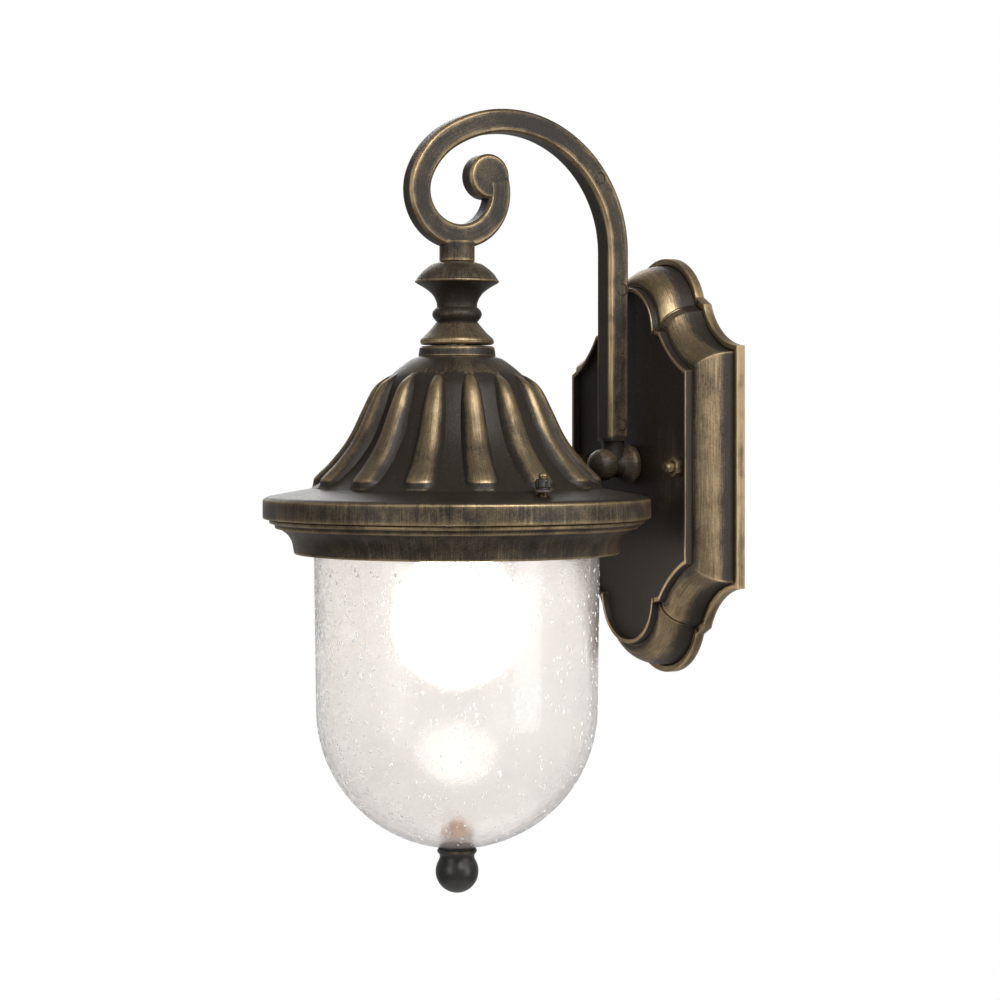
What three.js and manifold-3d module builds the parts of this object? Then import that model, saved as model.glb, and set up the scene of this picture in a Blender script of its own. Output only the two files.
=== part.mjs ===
// Outdoor wall lantern: a cast backplate, a scroll arm, a fluted canopy and a seeded glass shade.
// Millimetres. +Z is up, -Y points away from the wall, and the origin is the middle of the mounting
// bar's back face, which lies on the wall. The lantern hangs on a vertical axis REACH in front of it.
import * as THREE from "three";
import { mergeVertices } from "three/addons/utils/BufferGeometryUtils.js";
import Module from "manifold-3d";

const wasm = await Module();
wasm.setup();

// ---------------------------------------------------------------- driving dimensions
const REACH = 118.5; // wall to the lantern's axis
const GAP = 0.3; // clearance between neighbouring pieces

// Backplate: each pair is [at the wall flange's edge, at the raised fillet].
const PLATE_HALF_WIDTH = [60.5, 48.6];
const PLATE_SIDE_HALF_HEIGHT = [56.2, 43.2];
const PLATE_TOP = [99.7, 83.6];
const LOBE_END_X = [27.8, 21.4];
const LOBE_END_Z = [79.8, 62.7];
const SCALLOP_END_X = [33.8, 27];
const SCALLOP_END_Z = [76.4, 61.6];
const SCALLOP_DEPTH = [5, 1.9];
const MOULDING_WIDTH = 13;
const PLATE_FRONT = 26; // wall to the top of the fillet
const MOULDING_FRONT = 22.3; // wall to the crest of the moulding
const PANEL_FRONT = 22.9; // wall to the front of the panel
const FLANGE_THICKNESS = 4.8;
const PANEL_THICKNESS = 3;

// Fixing to the wall.
const STUD_SPACING = 82;
const STUD_RADIUS = 2.4;
const STUD_OVERHANG = 8.8; // stud end beyond the panel
const BAR_LENGTH = 100;
const BAR_WIDTH = 20;
const BAR_THICKNESS = 2;

// Scroll arm, drawn in the plane X = 0: u runs from the lantern's axis towards the wall.
const ARM_WIDTH = 11; // in the plane
const ARM_BACK = 90.4; // u of the leg's wall side
const ARM_FOOT_Z = 12.3;
const ARM_BEVEL = 1.2;
const BIG_ARC_U = 26;
const BIG_ARC = { u: BIG_ARC_U, z: 101.3, radius: ARM_BACK - ARM_WIDTH / 2 - BIG_ARC_U };
const RING = { u: -0.1, z: 126.6, radius: 20.8 };
const BLEND_RADIUS = 36; // arc between the big arc and the ring
const RING_END_ANGLE = 2 * Math.PI + 0.3;
const SCROLL_DISC = { u: 15, z: 133.9, radius: 10.4 };
const THICKNESS_AT_AXIS = 9.3;
const THICKNESS_AT_LEG = 12;
const CHANNEL_WIDTH = 5;
const CHANNEL_FLOOR = 2.5;
const COVER_WIDTH = 6.6;
const COVER_THICKNESS = 1.6;
const POST = { radius: 8.1, bottom: 94.4, top: 102 };
const FOOT_Z = 0.5; // height of the foot's horizontal axis
const LEAD_RADIUS = 1.9;
const NIPPLE_RADIUS = 4.8;
const NIPPLE_BORE = 3;

// Canopy, holder and shade: heights and radii from the lantern's axis.
const KNOB_BOTTOM = 56.2;
const CANOPY_TOP = 55.4;
const CANOPY_RIM = { radius: 88.8, top: -14.3, bottom: -23.3 };
const FLUTES = 14;
const FLUTE_PHASE = THREE.MathUtils.degToRad(-44.3);
const HOLDER_STUD_X = 76.5;
const SHADE_RADIUS = 65.5;
const SHADE_WALL = 3;
const SHADE_SPRING_Z = -110; // where the cylinder turns into the dome
const SHADE_BOTTOM_Z = -174;
const FINIAL_BALL = { radius: 9.85, z: -185.15 };
const LAMP_Z = -71; // middle of the lamp's round bulb
const LAMP_RADIUS = 30;

// ---------------------------------------------------------------- materials
function material(color, roughness, metalness, extra = {}) {
  return new THREE.MeshStandardMaterial({ color, roughness, metalness, ...extra });
}
const bronze = () => material(0x3b3630, 0.5, 0.8);
const darkBronze = () => material(0x262422, 0.55, 0.7);
const zincSteel = () => material(0xb9bab5, 0.4, 0.9);
const brass = () => material(0xb08d4a, 0.35, 1);
const copper = () => material(0x9a6f4c, 0.35, 1);
const rubber = () => material(0x1c1c1c, 0.85, 0);
const porcelain = () => material(0xf1efe8, 0.25, 0);
const clearGlass = () => material(0xe9e6e0, 0.05, 0, { transparent: true, opacity: 0.35 });

// ---------------------------------------------------------------- geometry helpers
// Turns a closed geometry round where its faces point inwards.
function facingOut(geometry) {
  const flat = geometry.index ? geometry.toNonIndexed() : geometry;
  const position = flat.getAttribute("position");
  const corner = [0, 1, 2].map(() => new THREE.Vector3());
  let volume = 0;
  for (let i = 0; i < position.count; i += 3) {
    corner.forEach((v, k) => v.fromBufferAttribute(position, i + k));
    volume += corner[0].dot(corner[1].clone().cross(corner[2]));
  }
  const bare = new THREE.BufferGeometry().setAttribute("position", position.clone());
  if (volume < 0) {
    const a = bare.getAttribute("position");
    for (let i = 0; i < a.count; i += 3) {
      corner[1].fromBufferAttribute(a, i + 1);
      corner[2].fromBufferAttribute(a, i + 2);
      a.setXYZ(i + 1, ...corner[2]);
      a.setXYZ(i + 2, ...corner[1]);
    }
  }
  return bare;
}

function solid(geometry) {
  const merged = mergeVertices(facingOut(geometry), 1e-4);
  return new wasm.Manifold(
    new wasm.Mesh({
      numProp: 3,
      vertProperties: new Float32Array(merged.getAttribute("position").array),
      triVerts: new Uint32Array(merged.index.array),
    }),
  );
}

function geometryOf(body) {
  const { vertProperties, triVerts } = body.getMesh();
  const geometry = new THREE.BufferGeometry();
  geometry.setAttribute("position", new THREE.BufferAttribute(vertProperties, 3));
  geometry.setIndex(new THREE.BufferAttribute(triVerts, 1));
  return geometry;
}

const cut = (body, ...tools) => tools.reduce((left, tool) => left.subtract(solid(tool)), body);
const join = (body, ...tools) => tools.reduce((left, tool) => left.add(solid(tool)), body);

// Turned piece about Z from [radius, z] pairs that start and end on the axis or close on themselves.
function turned(profile, segments = 24) {
  const points = profile.map(([radius, z]) => new THREE.Vector2(radius, z));
  return new THREE.LatheGeometry(points, segments).rotateX(Math.PI / 2);
}

function tube(outer, inner, low, high, segments = 24) {
  return turned([[inner, low], [outer, low], [outer, high], [inner, high], [inner, low]], segments);
}

function rod(radius, low, high, segments = 20) {
  return turned([[0, low], [radius, low], [radius, high], [0, high]], segments);
}

// The same along Y: low and high are distances in front of the wall.
const alongY = (geometry) => geometry.rotateX(Math.PI / 2);

function hexNut(acrossFlats, bore, low, high) {
  const nut = solid(rod(acrossFlats / Math.sqrt(3), low, high, 6));
  return geometryOf(cut(nut, rod(bore, low - 1, high + 1)));
}

function box(sizeX, sizeY, sizeZ, x, y, z) {
  return new THREE.BoxGeometry(sizeX, sizeY, sizeZ).translate(x, y, z);
}

// Skin over a row of loops of the same number of points, closed by a flat face at each end.
function loft(loops) {
  const count = loops[0].length;
  const corners = [];
  for (let i = 0; i + 1 < loops.length; i++) {
    for (let j = 0; j < count; j++) {
      const k = (j + 1) % count;
      const [a, b, c, d] = [loops[i][j], loops[i][k], loops[i + 1][k], loops[i + 1][j]];
      corners.push(a, b, c, a, c, d);
    }
  }
  const cap = (loop, reversed) => {
    const normal = new THREE.Vector3();
    loop.forEach((p, i) => normal.add(p.clone().cross(loop[(i + 1) % count])));
    const across = loop[0].clone().sub(loop[Math.floor(count / 2)]).normalize();
    const up = normal.normalize().clone().cross(across);
    const flat = loop.map((p) => new THREE.Vector2(p.dot(across), p.dot(up)));
    for (const [a, b, c] of THREE.ShapeUtils.triangulateShape(flat, [])) {
      corners.push(...(reversed ? [loop[c], loop[b], loop[a]] : [loop[a], loop[b], loop[c]]));
    }
  };
  cap(loops[0], true);
  cap(loops[loops.length - 1], false);
  return new THREE.BufferGeometry().setFromPoints(corners);
}

// Points of a circular arc from p to q, without p, that bows to the left of the way by rise.
function bowedArc(p, q, rise, steps) {
  const half = p.distanceTo(q) / 2;
  const radius = (half * half + rise * rise) / (2 * rise);
  const along = q.clone().sub(p).normalize();
  const left = new THREE.Vector2(-along.y, along.x);
  const centre = p.clone().add(q).multiplyScalar(0.5).addScaledVector(left, rise - radius);
  const span = 2 * Math.asin(half / radius);
  return Array.from({ length: steps }, (_, i) => {
    const angle = span * ((i + 1) / steps - 0.5);
    return centre
      .clone()
      .addScaledVector(left, radius * Math.cos(angle))
      .addScaledVector(along, radius * Math.sin(angle));
  });
}

// ---------------------------------------------------------------- backplate
// Outline of the plate at a distance in from its edge, as loops of (x, z).
function plateOutline(inset) {
  const at = ([edge, fillet]) => edge + ((fillet - edge) * inset) / MOULDING_WIDTH;
  const corner = new THREE.Vector2(at(PLATE_HALF_WIDTH), at(PLATE_SIDE_HALF_HEIGHT));
  const scallopEnd = new THREE.Vector2(at(SCALLOP_END_X), at(SCALLOP_END_Z));
  const lobeEnd = new THREE.Vector2(at(LOBE_END_X), at(LOBE_END_Z));
  const mirrored = lobeEnd.clone().setX(-lobeEnd.x);
  const lobe = bowedArc(lobeEnd, mirrored, lobeEnd.y - at(PLATE_TOP), 12);
  const scallop = bowedArc(corner, scallopEnd, at(SCALLOP_DEPTH), 4);
  const right = [corner, ...scallop, lobeEnd];
  const left = right.map((p) => new THREE.Vector2(-p.x, p.y)).reverse();
  const upper = [...right, ...lobe.slice(0, -1), ...left];
  return [...upper, ...upper.map((p) => new THREE.Vector2(-p.x, -p.y))];
}

function backplate() {
  const mouldingFoot = FLANGE_THICKNESS + 0.6;
  const moulding = [0.12, 0.3, 0.5, 0.72, 1].map((part) => {
    const angle = (part * Math.PI) / 2;
    return [11 - 8 * Math.cos(angle), mouldingFoot + (MOULDING_FRONT - mouldingFoot) * Math.sin(angle)];
  });
  const hollow = [[13.6, PANEL_FRONT - PANEL_THICKNESS], [7.5, 9], [4, 0]];
  const flange = [[0, 0], [0, FLANGE_THICKNESS], [2.2, FLANGE_THICKNESS], [2.8, FLANGE_THICKNESS - 0.8]];
  const fillet = [[11.4, MOULDING_FRONT], [12, PLATE_FRONT], [13.2, PLATE_FRONT], [13.8, PANEL_FRONT]];
  const loops = [...hollow, ...flange, ...moulding, ...fillet].map(([inset, depth]) =>
    plateOutline(inset).map((p) => new THREE.Vector3(p.x, -depth, p.y)),
  );
  const stud = (x) => alongY(rod(STUD_RADIUS + GAP, 10, 30)).translate(x, 0, 0);
  const entry = alongY(rod(NIPPLE_RADIUS + GAP, 10, 30)).translate(0, 0, FOOT_Z);
  return geometryOf(cut(solid(loft(loops)), stud(STUD_SPACING / 2), stud(-STUD_SPACING / 2), entry));
}

function mountingBar() {
  const bar = solid(box(BAR_LENGTH, BAR_THICKNESS, BAR_WIDTH, 0, -BAR_THICKNESS / 2, 0));
  const slot = (x) => box(9, 10, 5, x, 0, 0);
  const hole = (x) => alongY(rod(STUD_RADIUS + GAP, -5, 5)).translate(x, 0, 0);
  const half = STUD_SPACING / 2;
  return geometryOf(cut(bar, slot(30), slot(-30), hole(half), hole(-half), hole(15)));
}

// Threaded stud that screws through the bar and stands out of the panel.
const mountingStud = () => alongY(rod(STUD_RADIUS, 0.3, PANEL_FRONT + STUD_OVERHANG, 16));

function mountingNut() {
  const seat = PANEL_FRONT + GAP;
  return alongY(hexNut(8.6, STUD_RADIUS + 0.1, seat, seat + 4.7));
}

function groundScrew() {
  const head = BAR_THICKNESS + GAP;
  return alongY(turned([[0, 0.3], [2.3, 0.3], [2.3, head], [4, head], [4, head + 1.6], [0, head + 2.6]], 16));
}

// ---------------------------------------------------------------- scroll arm
// The arm's middle line is three arcs, each tangent to the next: the big arc, a blend and the ring.
const armArcs = (() => {
  const first = BIG_ARC.radius - BLEND_RADIUS;
  const second = BLEND_RADIUS - RING.radius;
  const du = RING.u - BIG_ARC.u;
  const dz = RING.z - BIG_ARC.z;
  const distance = Math.hypot(du, dz);
  const cosFirst = (distance ** 2 + first ** 2 - second ** 2) / (2 * distance * first);
  const firstAngle = Math.atan2(dz, du) - Math.acos(cosFirst);
  const blend = {
    u: BIG_ARC.u + first * Math.cos(firstAngle),
    z: BIG_ARC.z + first * Math.sin(firstAngle),
    radius: BLEND_RADIUS,
  };
  const secondAngle = Math.atan2(RING.z - blend.z, RING.u - blend.u);
  return [
    { ...BIG_ARC, from: 0, to: firstAngle },
    { ...blend, from: firstAngle, to: secondAngle },
    { ...RING, from: secondAngle, to: RING_END_ANGLE },
  ];
})();

// Outline of a band of the given width along the middle line, from height low up and round to end.
function armBand(width, low, end) {
  const arcs = armArcs.map((arc, i) => (i === 2 ? { ...arc, to: end } : arc));
  const band = new THREE.Shape();
  const leg = BIG_ARC.u + BIG_ARC.radius;
  band.moveTo(leg + width / 2, low);
  band.lineTo(leg + width / 2, BIG_ARC.z);
  for (const arc of arcs) band.absarc(arc.u, arc.z, arc.radius + width / 2, arc.from, arc.to, false);
  for (const arc of [...arcs].reverse()) {
    band.absarc(arc.u, arc.z, arc.radius - width / 2, arc.to, arc.from, true);
  }
  band.lineTo(leg - width / 2, low);
  return band;
}

const UNIT_THICKNESS = 10;
// Extrudes an outline of (u, z) across X, and tapers its thickness from the leg to the scroll.
function acrossX(outline, low, high, bevel = 0) {
  const geometry = new THREE.ExtrudeGeometry(outline, {
    depth: high - low - 2 * bevel,
    curveSegments: 7,
    bevelEnabled: bevel > 0,
    bevelThickness: bevel,
    bevelSize: bevel,
    bevelOffset: -bevel,
    bevelSegments: 1,
  });
  const position = geometry.getAttribute("position");
  for (let i = 0; i < position.count; i++) {
    const u = position.getX(i);
    const z = position.getY(i);
    const leg = BIG_ARC.u + BIG_ARC.radius;
    const thickness = THICKNESS_AT_AXIS + ((THICKNESS_AT_LEG - THICKNESS_AT_AXIS) * u) / leg;
    const x = ((position.getZ(i) + low + bevel) * thickness) / UNIT_THICKNESS;
    position.setXYZ(i, x, u - REACH, z);
  }
  return geometry;
}

// Foot of the arm about a horizontal axis: collar on the panel, neck, and a ball in front.
function footProfile() {
  const back = PANEL_FRONT + GAP;
  const ball = { depth: 39.1, radius: 7.6 };
  const ballArc = Array.from({ length: 7 }, (_, i) => {
    const angle = (i / 6) * 2.25 + (Math.PI - 2.25);
    return [ball.radius * Math.sin(angle), ball.depth - ball.radius * Math.cos(angle)];
  });
  const collar = [[0, back], [8.8, back], [9.6, back + 1.4], [9.6, back + 4.2]];
  return [...collar, [8, back + 6.2], [6.2, back + 7.4], ...ballArc];
}

function arm() {
  const half = UNIT_THICKNESS / 2;
  const band = acrossX(armBand(ARM_WIDTH, ARM_FOOT_Z - 6, RING_END_ANGLE), -half, half, ARM_BEVEL);
  const { u, z, radius } = SCROLL_DISC;
  const disc = new THREE.Shape().absarc(u, z, radius, 0, 2 * Math.PI, false);
  const legY = BIG_ARC.u + BIG_ARC.radius - REACH;
  const body = join(
    solid(band),
    acrossX(disc, -half, half, ARM_BEVEL),
    rod(POST.radius, POST.bottom, POST.top, 28).translate(0, -REACH, 0),
    alongY(turned(footProfile(), 24)).translate(0, 0, FOOT_Z),
  );
  const ringBottom = (3 * Math.PI) / 2 + 0.15;
  const channel = acrossX(armBand(CHANNEL_WIDTH, FOOT_Z, ringBottom), -half - 3, CHANNEL_FLOOR);
  const hiddenChannel = box(20, 20, 20, 0, legY, ARM_FOOT_Z - 10);
  const rebateBand = armBand(COVER_WIDTH + 2 * GAP, ARM_FOOT_Z + 1, ringBottom);
  const rebate = acrossX(rebateBand, -half - 3, -half + COVER_THICKNESS + GAP);
  return geometryOf(
    cut(
      cut(body, geometryOf(cut(solid(channel), hiddenChannel)), rebate),
      rod(LEAD_RADIUS + 0.7, FOOT_Z, ARM_FOOT_Z + 2, 12).translate(0, legY, 0),
      rod(LEAD_RADIUS + 1.6, POST.bottom - 1, RING.z - RING.radius, 12).translate(0, -REACH, 0),
      rod(NIPPLE_RADIUS + GAP, POST.bottom - 1, POST.bottom + 4.5, 20).translate(0, -REACH, 0),
      alongY(rod(NIPPLE_RADIUS + GAP, 20, -legY + 2, 20)).translate(0, 0, FOOT_Z),
    ),
  );
}

// Strip that closes the lead's channel, flush in the arm's far side.
function armCover() {
  const half = UNIT_THICKNESS / 2;
  const ringBottom = (3 * Math.PI) / 2 - 0.42;
  return acrossX(armBand(COVER_WIDTH, ARM_FOOT_Z + 1 + GAP, ringBottom), -half, -half + COVER_THICKNESS);
}

// Sleeved pair of leads from the wiring space, through the foot, the arm and the post, to the socket.
function lead() {
  const legU = BIG_ARC.u + BIG_ARC.radius;
  const alongArc = (arc, to, steps) =>
    Array.from({ length: steps }, (_, i) => {
      const angle = arc.from + ((to - arc.from) * (i + 1)) / steps;
      return [arc.u + arc.radius * Math.cos(angle), arc.z + arc.radius * Math.sin(angle)];
    });
  const [big, blend, ring] = armArcs;
  const route = [
    [REACH - 8, -14], [REACH - 10.5, -4.5], [REACH - 12.8, 0.1], [REACH - 15.5, FOOT_Z], [legU + 5.5, FOOT_Z],
    [legU + 1.8, 2.2], [legU, 6.5], [legU, 16], [legU, 45], [legU, 75], [legU, 93],
    ...alongArc(big, big.to, 10), ...alongArc(blend, blend.to, 4),
    ...alongArc(ring, (3 * Math.PI) / 2 - 0.1, 6),
    [0, 100], [0, 90], [0, 60], [0, 24],
  ];
  const points = route.map(([u, z]) => new THREE.Vector3(0, u - REACH, z));
  const section = new THREE.Shape().absarc(0, 0, LEAD_RADIUS, 0, 2 * Math.PI, false);
  return new THREE.ExtrudeGeometry(section, {
    steps: 64,
    curveSegments: 4,
    bevelEnabled: false,
    extrudePath: new THREE.CatmullRomCurve3(points, false, "centripetal"),
  });
}

// Hollow threaded tube through the panel into the foot.
const footNipple = () => alongY(tube(NIPPLE_RADIUS, NIPPLE_BORE, 14.5, 27, 20)).translate(0, 0, FOOT_Z);
const PANEL_BACK = PANEL_FRONT - PANEL_THICKNESS;
function footWasher() {
  const seat = PANEL_BACK - GAP;
  return alongY(tube(9, NIPPLE_RADIUS + 0.1, seat - 1, seat, 20)).translate(0, 0, FOOT_Z);
}
function footLocknut() {
  const seat = PANEL_BACK - 2 * GAP - 1;
  return alongY(hexNut(14, NIPPLE_RADIUS + 0.1, seat - 3, seat)).translate(0, 0, FOOT_Z);
}

// ---------------------------------------------------------------- knob and canopy
function turnedKnob() {
  const bore = NIPPLE_RADIUS + GAP;
  return turned(
    [
      [bore, KNOB_BOTTOM], [16.5, KNOB_BOTTOM], [16.9, 57.3], [16.6, 58.5], [9.5, 66], [9.2, 66.9],
      [10.6, 68], [11.4, 70.1], [10.6, 72.2], [9.2, 73.4], [9.4, 75.6], [11, 79], [13.8, 81.6],
      [19.3, 84.6], [19.3, 85.5], [16.7, 88.8], [14.3, 91.2], [11.4, 93.2],
      [8.4, POST.bottom - GAP], [bore, POST.bottom - GAP], [bore, KNOB_BOTTOM],
    ],
    24,
  );
}

// Shell of the canopy without its flutes: outside from the neck down to the rim, then back up inside.
const canopyOutside = [
  [16.6, CANOPY_TOP], [17.2, 54.8], [17.9, 50.6], [21, 49.4], [25, 46.6], [28.6, 43.6], [31.7, 40.4],
  [34.4, 36.2], [38.4, 26], [44, 13.4], [51.6, 3], [58.4, -3.4], [66, -9], [87, -13],
  [CANOPY_RIM.radius, CANOPY_RIM.top - 0.8], [CANOPY_RIM.radius, CANOPY_RIM.bottom + 0.4],
  [CANOPY_RIM.radius - 0.6, CANOPY_RIM.bottom],
];
const canopyInside = [
  [82, CANOPY_RIM.bottom], [80.5, -16], [64, -12.6], [47.5, 1.5], [32.5, 31], [16, 46.8],
  [NIPPLE_RADIUS + GAP, 46.8], [NIPPLE_RADIUS + GAP, CANOPY_TOP],
];

// One raised flute: rounded point at the top, widening down the canopy to a blunt end.
// Each row is [height, crest radius, shell radius, half width].
const fluteRows = [
  [41.4, 31.9, 30.6, 1.6], [39.4, 34.7, 32.2, 3], [35.4, 38.7, 34.7, 4], [24.4, 44.2, 38.9, 5.2],
  [13.4, 49.9, 44, 5.9], [2.4, 58.1, 52, 6.7], [-5.6, 65.7, 61, 7.5], [-9.6, 66.6, 65.4, 7.2],
];
function flute() {
  const across = [-1, -0.75, -0.3, 0.3, 0.75, 1];
  const loops = fluteRows.map(([z, crest, shell, halfWidth]) => {
    const point = (side, height) => {
      const radius = shell + (crest - shell) * height;
      const angle = (side * halfWidth) / shell;
      return new THREE.Vector3(radius * Math.cos(angle), radius * Math.sin(angle), z);
    };
    const top = across.map((side) => point(side, 1 - Math.abs(side) ** 2.6));
    return [...top, point(0.9, -0.35), point(-0.9, -0.35)];
  });
  return loft(loops);
}

function canopy() {
  const shell = solid(turned([...canopyOutside, ...canopyInside, canopyOutside[0]], 3 * FLUTES));
  const flutes = Array.from({ length: FLUTES }, (_, i) =>
    flute().rotateZ(FLUTE_PHASE + (i * 2 * Math.PI) / FLUTES),
  );
  const studHole = (x) => rod(STUD_RADIUS + GAP, -30, 0, 12).translate(x, 0, 0);
  return geometryOf(cut(join(shell, ...flutes), studHole(HOLDER_STUD_X), studHole(-HOLDER_STUD_X)));
}

const stemNipple = () => tube(NIPPLE_RADIUS, NIPPLE_BORE, 27, POST.bottom + 4, 20);
const canopyWasher = () => tube(9.5, NIPPLE_RADIUS + 0.1, 45.2, 46.5, 20);
const canopyLocknut = () => hexNut(14, NIPPLE_RADIUS + 0.1, 41.2, 44.9);

// ---------------------------------------------------------------- socket and lamp
function socketCup() {
  const wall = 1;
  const profile = [
    [NIPPLE_RADIUS + 0.1, 35], [10, 35], [18, 30], [22.6, 22], [22.6, 2], [22.6 - wall, 2],
    [22.6 - wall, 21.6], [17.2, 29], [9.6, 35 - wall], [NIPPLE_RADIUS + 0.1, 35 - wall],
    [NIPPLE_RADIUS + 0.1, 35],
  ];
  return turned(profile, 24);
}
const socketNutUpper = () => hexNut(13, NIPPLE_RADIUS + 0.1, 35.3, 38);
const socketNutLower = () => hexNut(13, NIPPLE_RADIUS + 0.1, 29.6, 33.6);

// Porcelain body, open below for the lamp's cap.
function socketBody() {
  const outside = [[0, 21.6], [19, 21.6], [21.2, 18], [21.2, -18], [20.2, -19.4]];
  return turned([...outside, [15.2, -19.4], [15.2, 12], [0, 12]], 24);
}
function screwShell() {
  const outside = [[2.9, 11.6], [14.8, 11.6], [14.8, -15]];
  return turned([...outside, [14, -15], [14, 10.8], [2.9, 10.8], outside[0]], 24);
}
const centreContact = () => rod(2.4, 6.9, 11.6, 12);

function lampCap() {
  const top = 6.5;
  const thread = Array.from({ length: 5 }, (_, i) => [
    [13.4, top - 3.5 - i * 3.6],
    [12.7, top - 5.3 - i * 3.6],
  ]).flat();
  const crown = [[0, top], [4.5, top], [5, top - 1], [12, top - 2.6]];
  return turned([...crown, ...thread, [13.2, -19], [12.4, -19], [12.4, 1], [0, 1]], 18);
}

// Blown envelope: a round bulb that narrows into the cap, open at the neck.
function lampEnvelope() {
  const skin = 0.9;
  const outline = (shrink) => {
    const round = Array.from({ length: 8 }, (_, i) => {
      const angle = -Math.PI / 2 + (i / 7) * 2.36;
      const radius = LAMP_RADIUS - shrink;
      return [radius * Math.cos(angle), LAMP_Z + radius * Math.sin(angle)];
    });
    round[0][0] = 0;
    return [...round, [16.8 - shrink, -40], [13.8 - shrink, -27], [13.2 - shrink, -19.4]];
  };
  return turned([...outline(0), ...outline(skin).reverse()], 24);
}

// Glass mount inside the lamp, with its flared top and the filament's bead.
function lampStem() {
  const flare = [[0, -16], [10.8, -16], [10.8, -18], [4, -26], [3, -50]];
  const bead = [[5.5, -54], [5.5, -58], [1.5, -62], [1.5, -72], [0, -72]];
  return turned([...flare, ...bead], 16);
}

// ---------------------------------------------------------------- glass holder, shade and finial
function glassHolder() {
  const top = CANOPY_RIM.bottom - GAP;
  const ring = solid(
    turned(
      [
        [85.8, top], [85.8, -25.2], [83.3, -26.2], [82.8, -27.6], [80.3, -28.1], [77, -31], [75, -35.4],
        [74.3, -39.3], [67.4, -39.3], [67.4, -36.4], [72, -36.4], [72.4, top], [85.8, top],
      ],
      48,
    ),
  );
  const studHole = (x) => rod(STUD_RADIUS, -27.5, -20, 12).translate(x, 0, 0);
  return geometryOf(cut(ring, studHole(HOLDER_STUD_X), studHole(-HOLDER_STUD_X)));
}
const holderStud = () => rod(STUD_RADIUS - GAP, -27.2, -1.4, 12);

// Knurled nut on the canopy's flange: flutes round its grip and a plain seat below.
function knurledNut() {
  const grip = new THREE.Shape();
  const teeth = 12;
  for (let i = 0; i < 2 * teeth; i++) {
    const angle = (i * Math.PI) / teeth;
    const radius = i % 2 ? 3 : 3.4;
    const point = [radius * Math.cos(angle), radius * Math.sin(angle)];
    if (i) grip.lineTo(...point);
    else grip.moveTo(...point);
  }
  const body = new THREE.ExtrudeGeometry(grip, { depth: 4.6, bevelEnabled: false }).translate(0, 0, -8.6);
  const seat = rod(4.2, -9.8, -8.4, 16);
  return geometryOf(cut(join(solid(body), seat), rod(STUD_RADIUS - 0.2, -12, 0, 12)));
}

const glassGasket = () => tube(71.4, 67.8, -36.1, -35.3, 40);

function shadeProfile() {
  const rim = [[SHADE_RADIUS - SHADE_WALL, -31.4], [70.6, -31.4], [71.2, -33], [70.6, -35]];
  const lip = [...rim, [67.4, -35], [SHADE_RADIUS, -39]];
  const outerDome = domeArc(SHADE_RADIUS - 1, SHADE_BOTTOM_Z);
  const innerDome = domeArc(SHADE_RADIUS - 1 - SHADE_WALL, SHADE_BOTTOM_Z + SHADE_WALL).reverse();
  return [...lip, ...outerDome, ...innerDome, lip[0]];
}
// Quarter of an ellipse from the spring line down to a hole of 5.5 mm radius at the bottom.
function domeArc(radius, bottom) {
  const points = 8;
  const height = SHADE_SPRING_Z - bottom;
  const last = Math.acos(5.5 / radius);
  return Array.from({ length: points }, (_, i) => {
    const angle = (last * i) / (points - 1);
    return [radius * Math.cos(angle), SHADE_SPRING_Z - height * Math.sin(angle)];
  });
}
const glassShade = () => turned(shadeProfile(), 40);

function finial() {
  const ball = Array.from({ length: 8 }, (_, i) => {
    const angle = 2.5 - (i / 7) * 2.5;
    return [FINIAL_BALL.radius * Math.sin(angle), FINIAL_BALL.z - FINIAL_BALL.radius * Math.cos(angle)];
  });
  ball[7][0] = 0;
  const top = SHADE_BOTTOM_Z - 1;
  const bore = [[0, top - 8], [2.8, top - 8], [2.8, top]];
  return turned([...bore, [9.2, top], [9.2, top - 1.2], [8.1, top - 2.2], ...ball.slice(1)], 24);
}
const finialStud = () => rod(2.5, SHADE_BOTTOM_Z - 8.7, -161.6, 12);
const shadeWasher = () => tube(8.6, 2.8, SHADE_BOTTOM_Z - 0.8, SHADE_BOTTOM_Z - 0.1, 20);
const couplingCup = () =>
  turned([[2.8, -169.8], [7.7, -169.8], [7.7, -166.6], [6.9, -166], [2.8, -166], [2.8, -169.8]], 24);
const couplingNut = () => hexNut(7.4, 2.6, -165.7, -162.2);

// ---------------------------------------------------------------- assembly
const lantern = new THREE.Group();

function place(parent, name, geometry, look, x = 0) {
  const mesh = new THREE.Mesh(facingOut(geometry), look);
  mesh.name = name;
  mesh.geometry.computeVertexNormals();
  mesh.position.x = x;
  parent.add(mesh);
}

place(lantern, "mounting_bar", mountingBar(), zincSteel());
place(lantern, "ground_screw", groundScrew(), material(0x2f7d46, 0.45, 0.6), 15);
place(lantern, "backplate", backplate(), darkBronze());
for (const [side, sign] of [["left", -1], ["right", 1]]) {
  place(lantern, "mounting_stud_" + side, mountingStud(), brass(), (sign * STUD_SPACING) / 2);
  place(lantern, "mounting_nut_" + side, mountingNut(), bronze(), (sign * STUD_SPACING) / 2);
}
place(lantern, "foot_nipple", footNipple(), zincSteel());
place(lantern, "foot_washer", footWasher(), zincSteel());
place(lantern, "foot_locknut", footLocknut(), zincSteel());
place(lantern, "scroll_arm", arm(), bronze());
place(lantern, "arm_cover", armCover(), bronze());
place(lantern, "supply_lead", lead(), material(0xd8d4c6, 0.7, 0));

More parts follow.
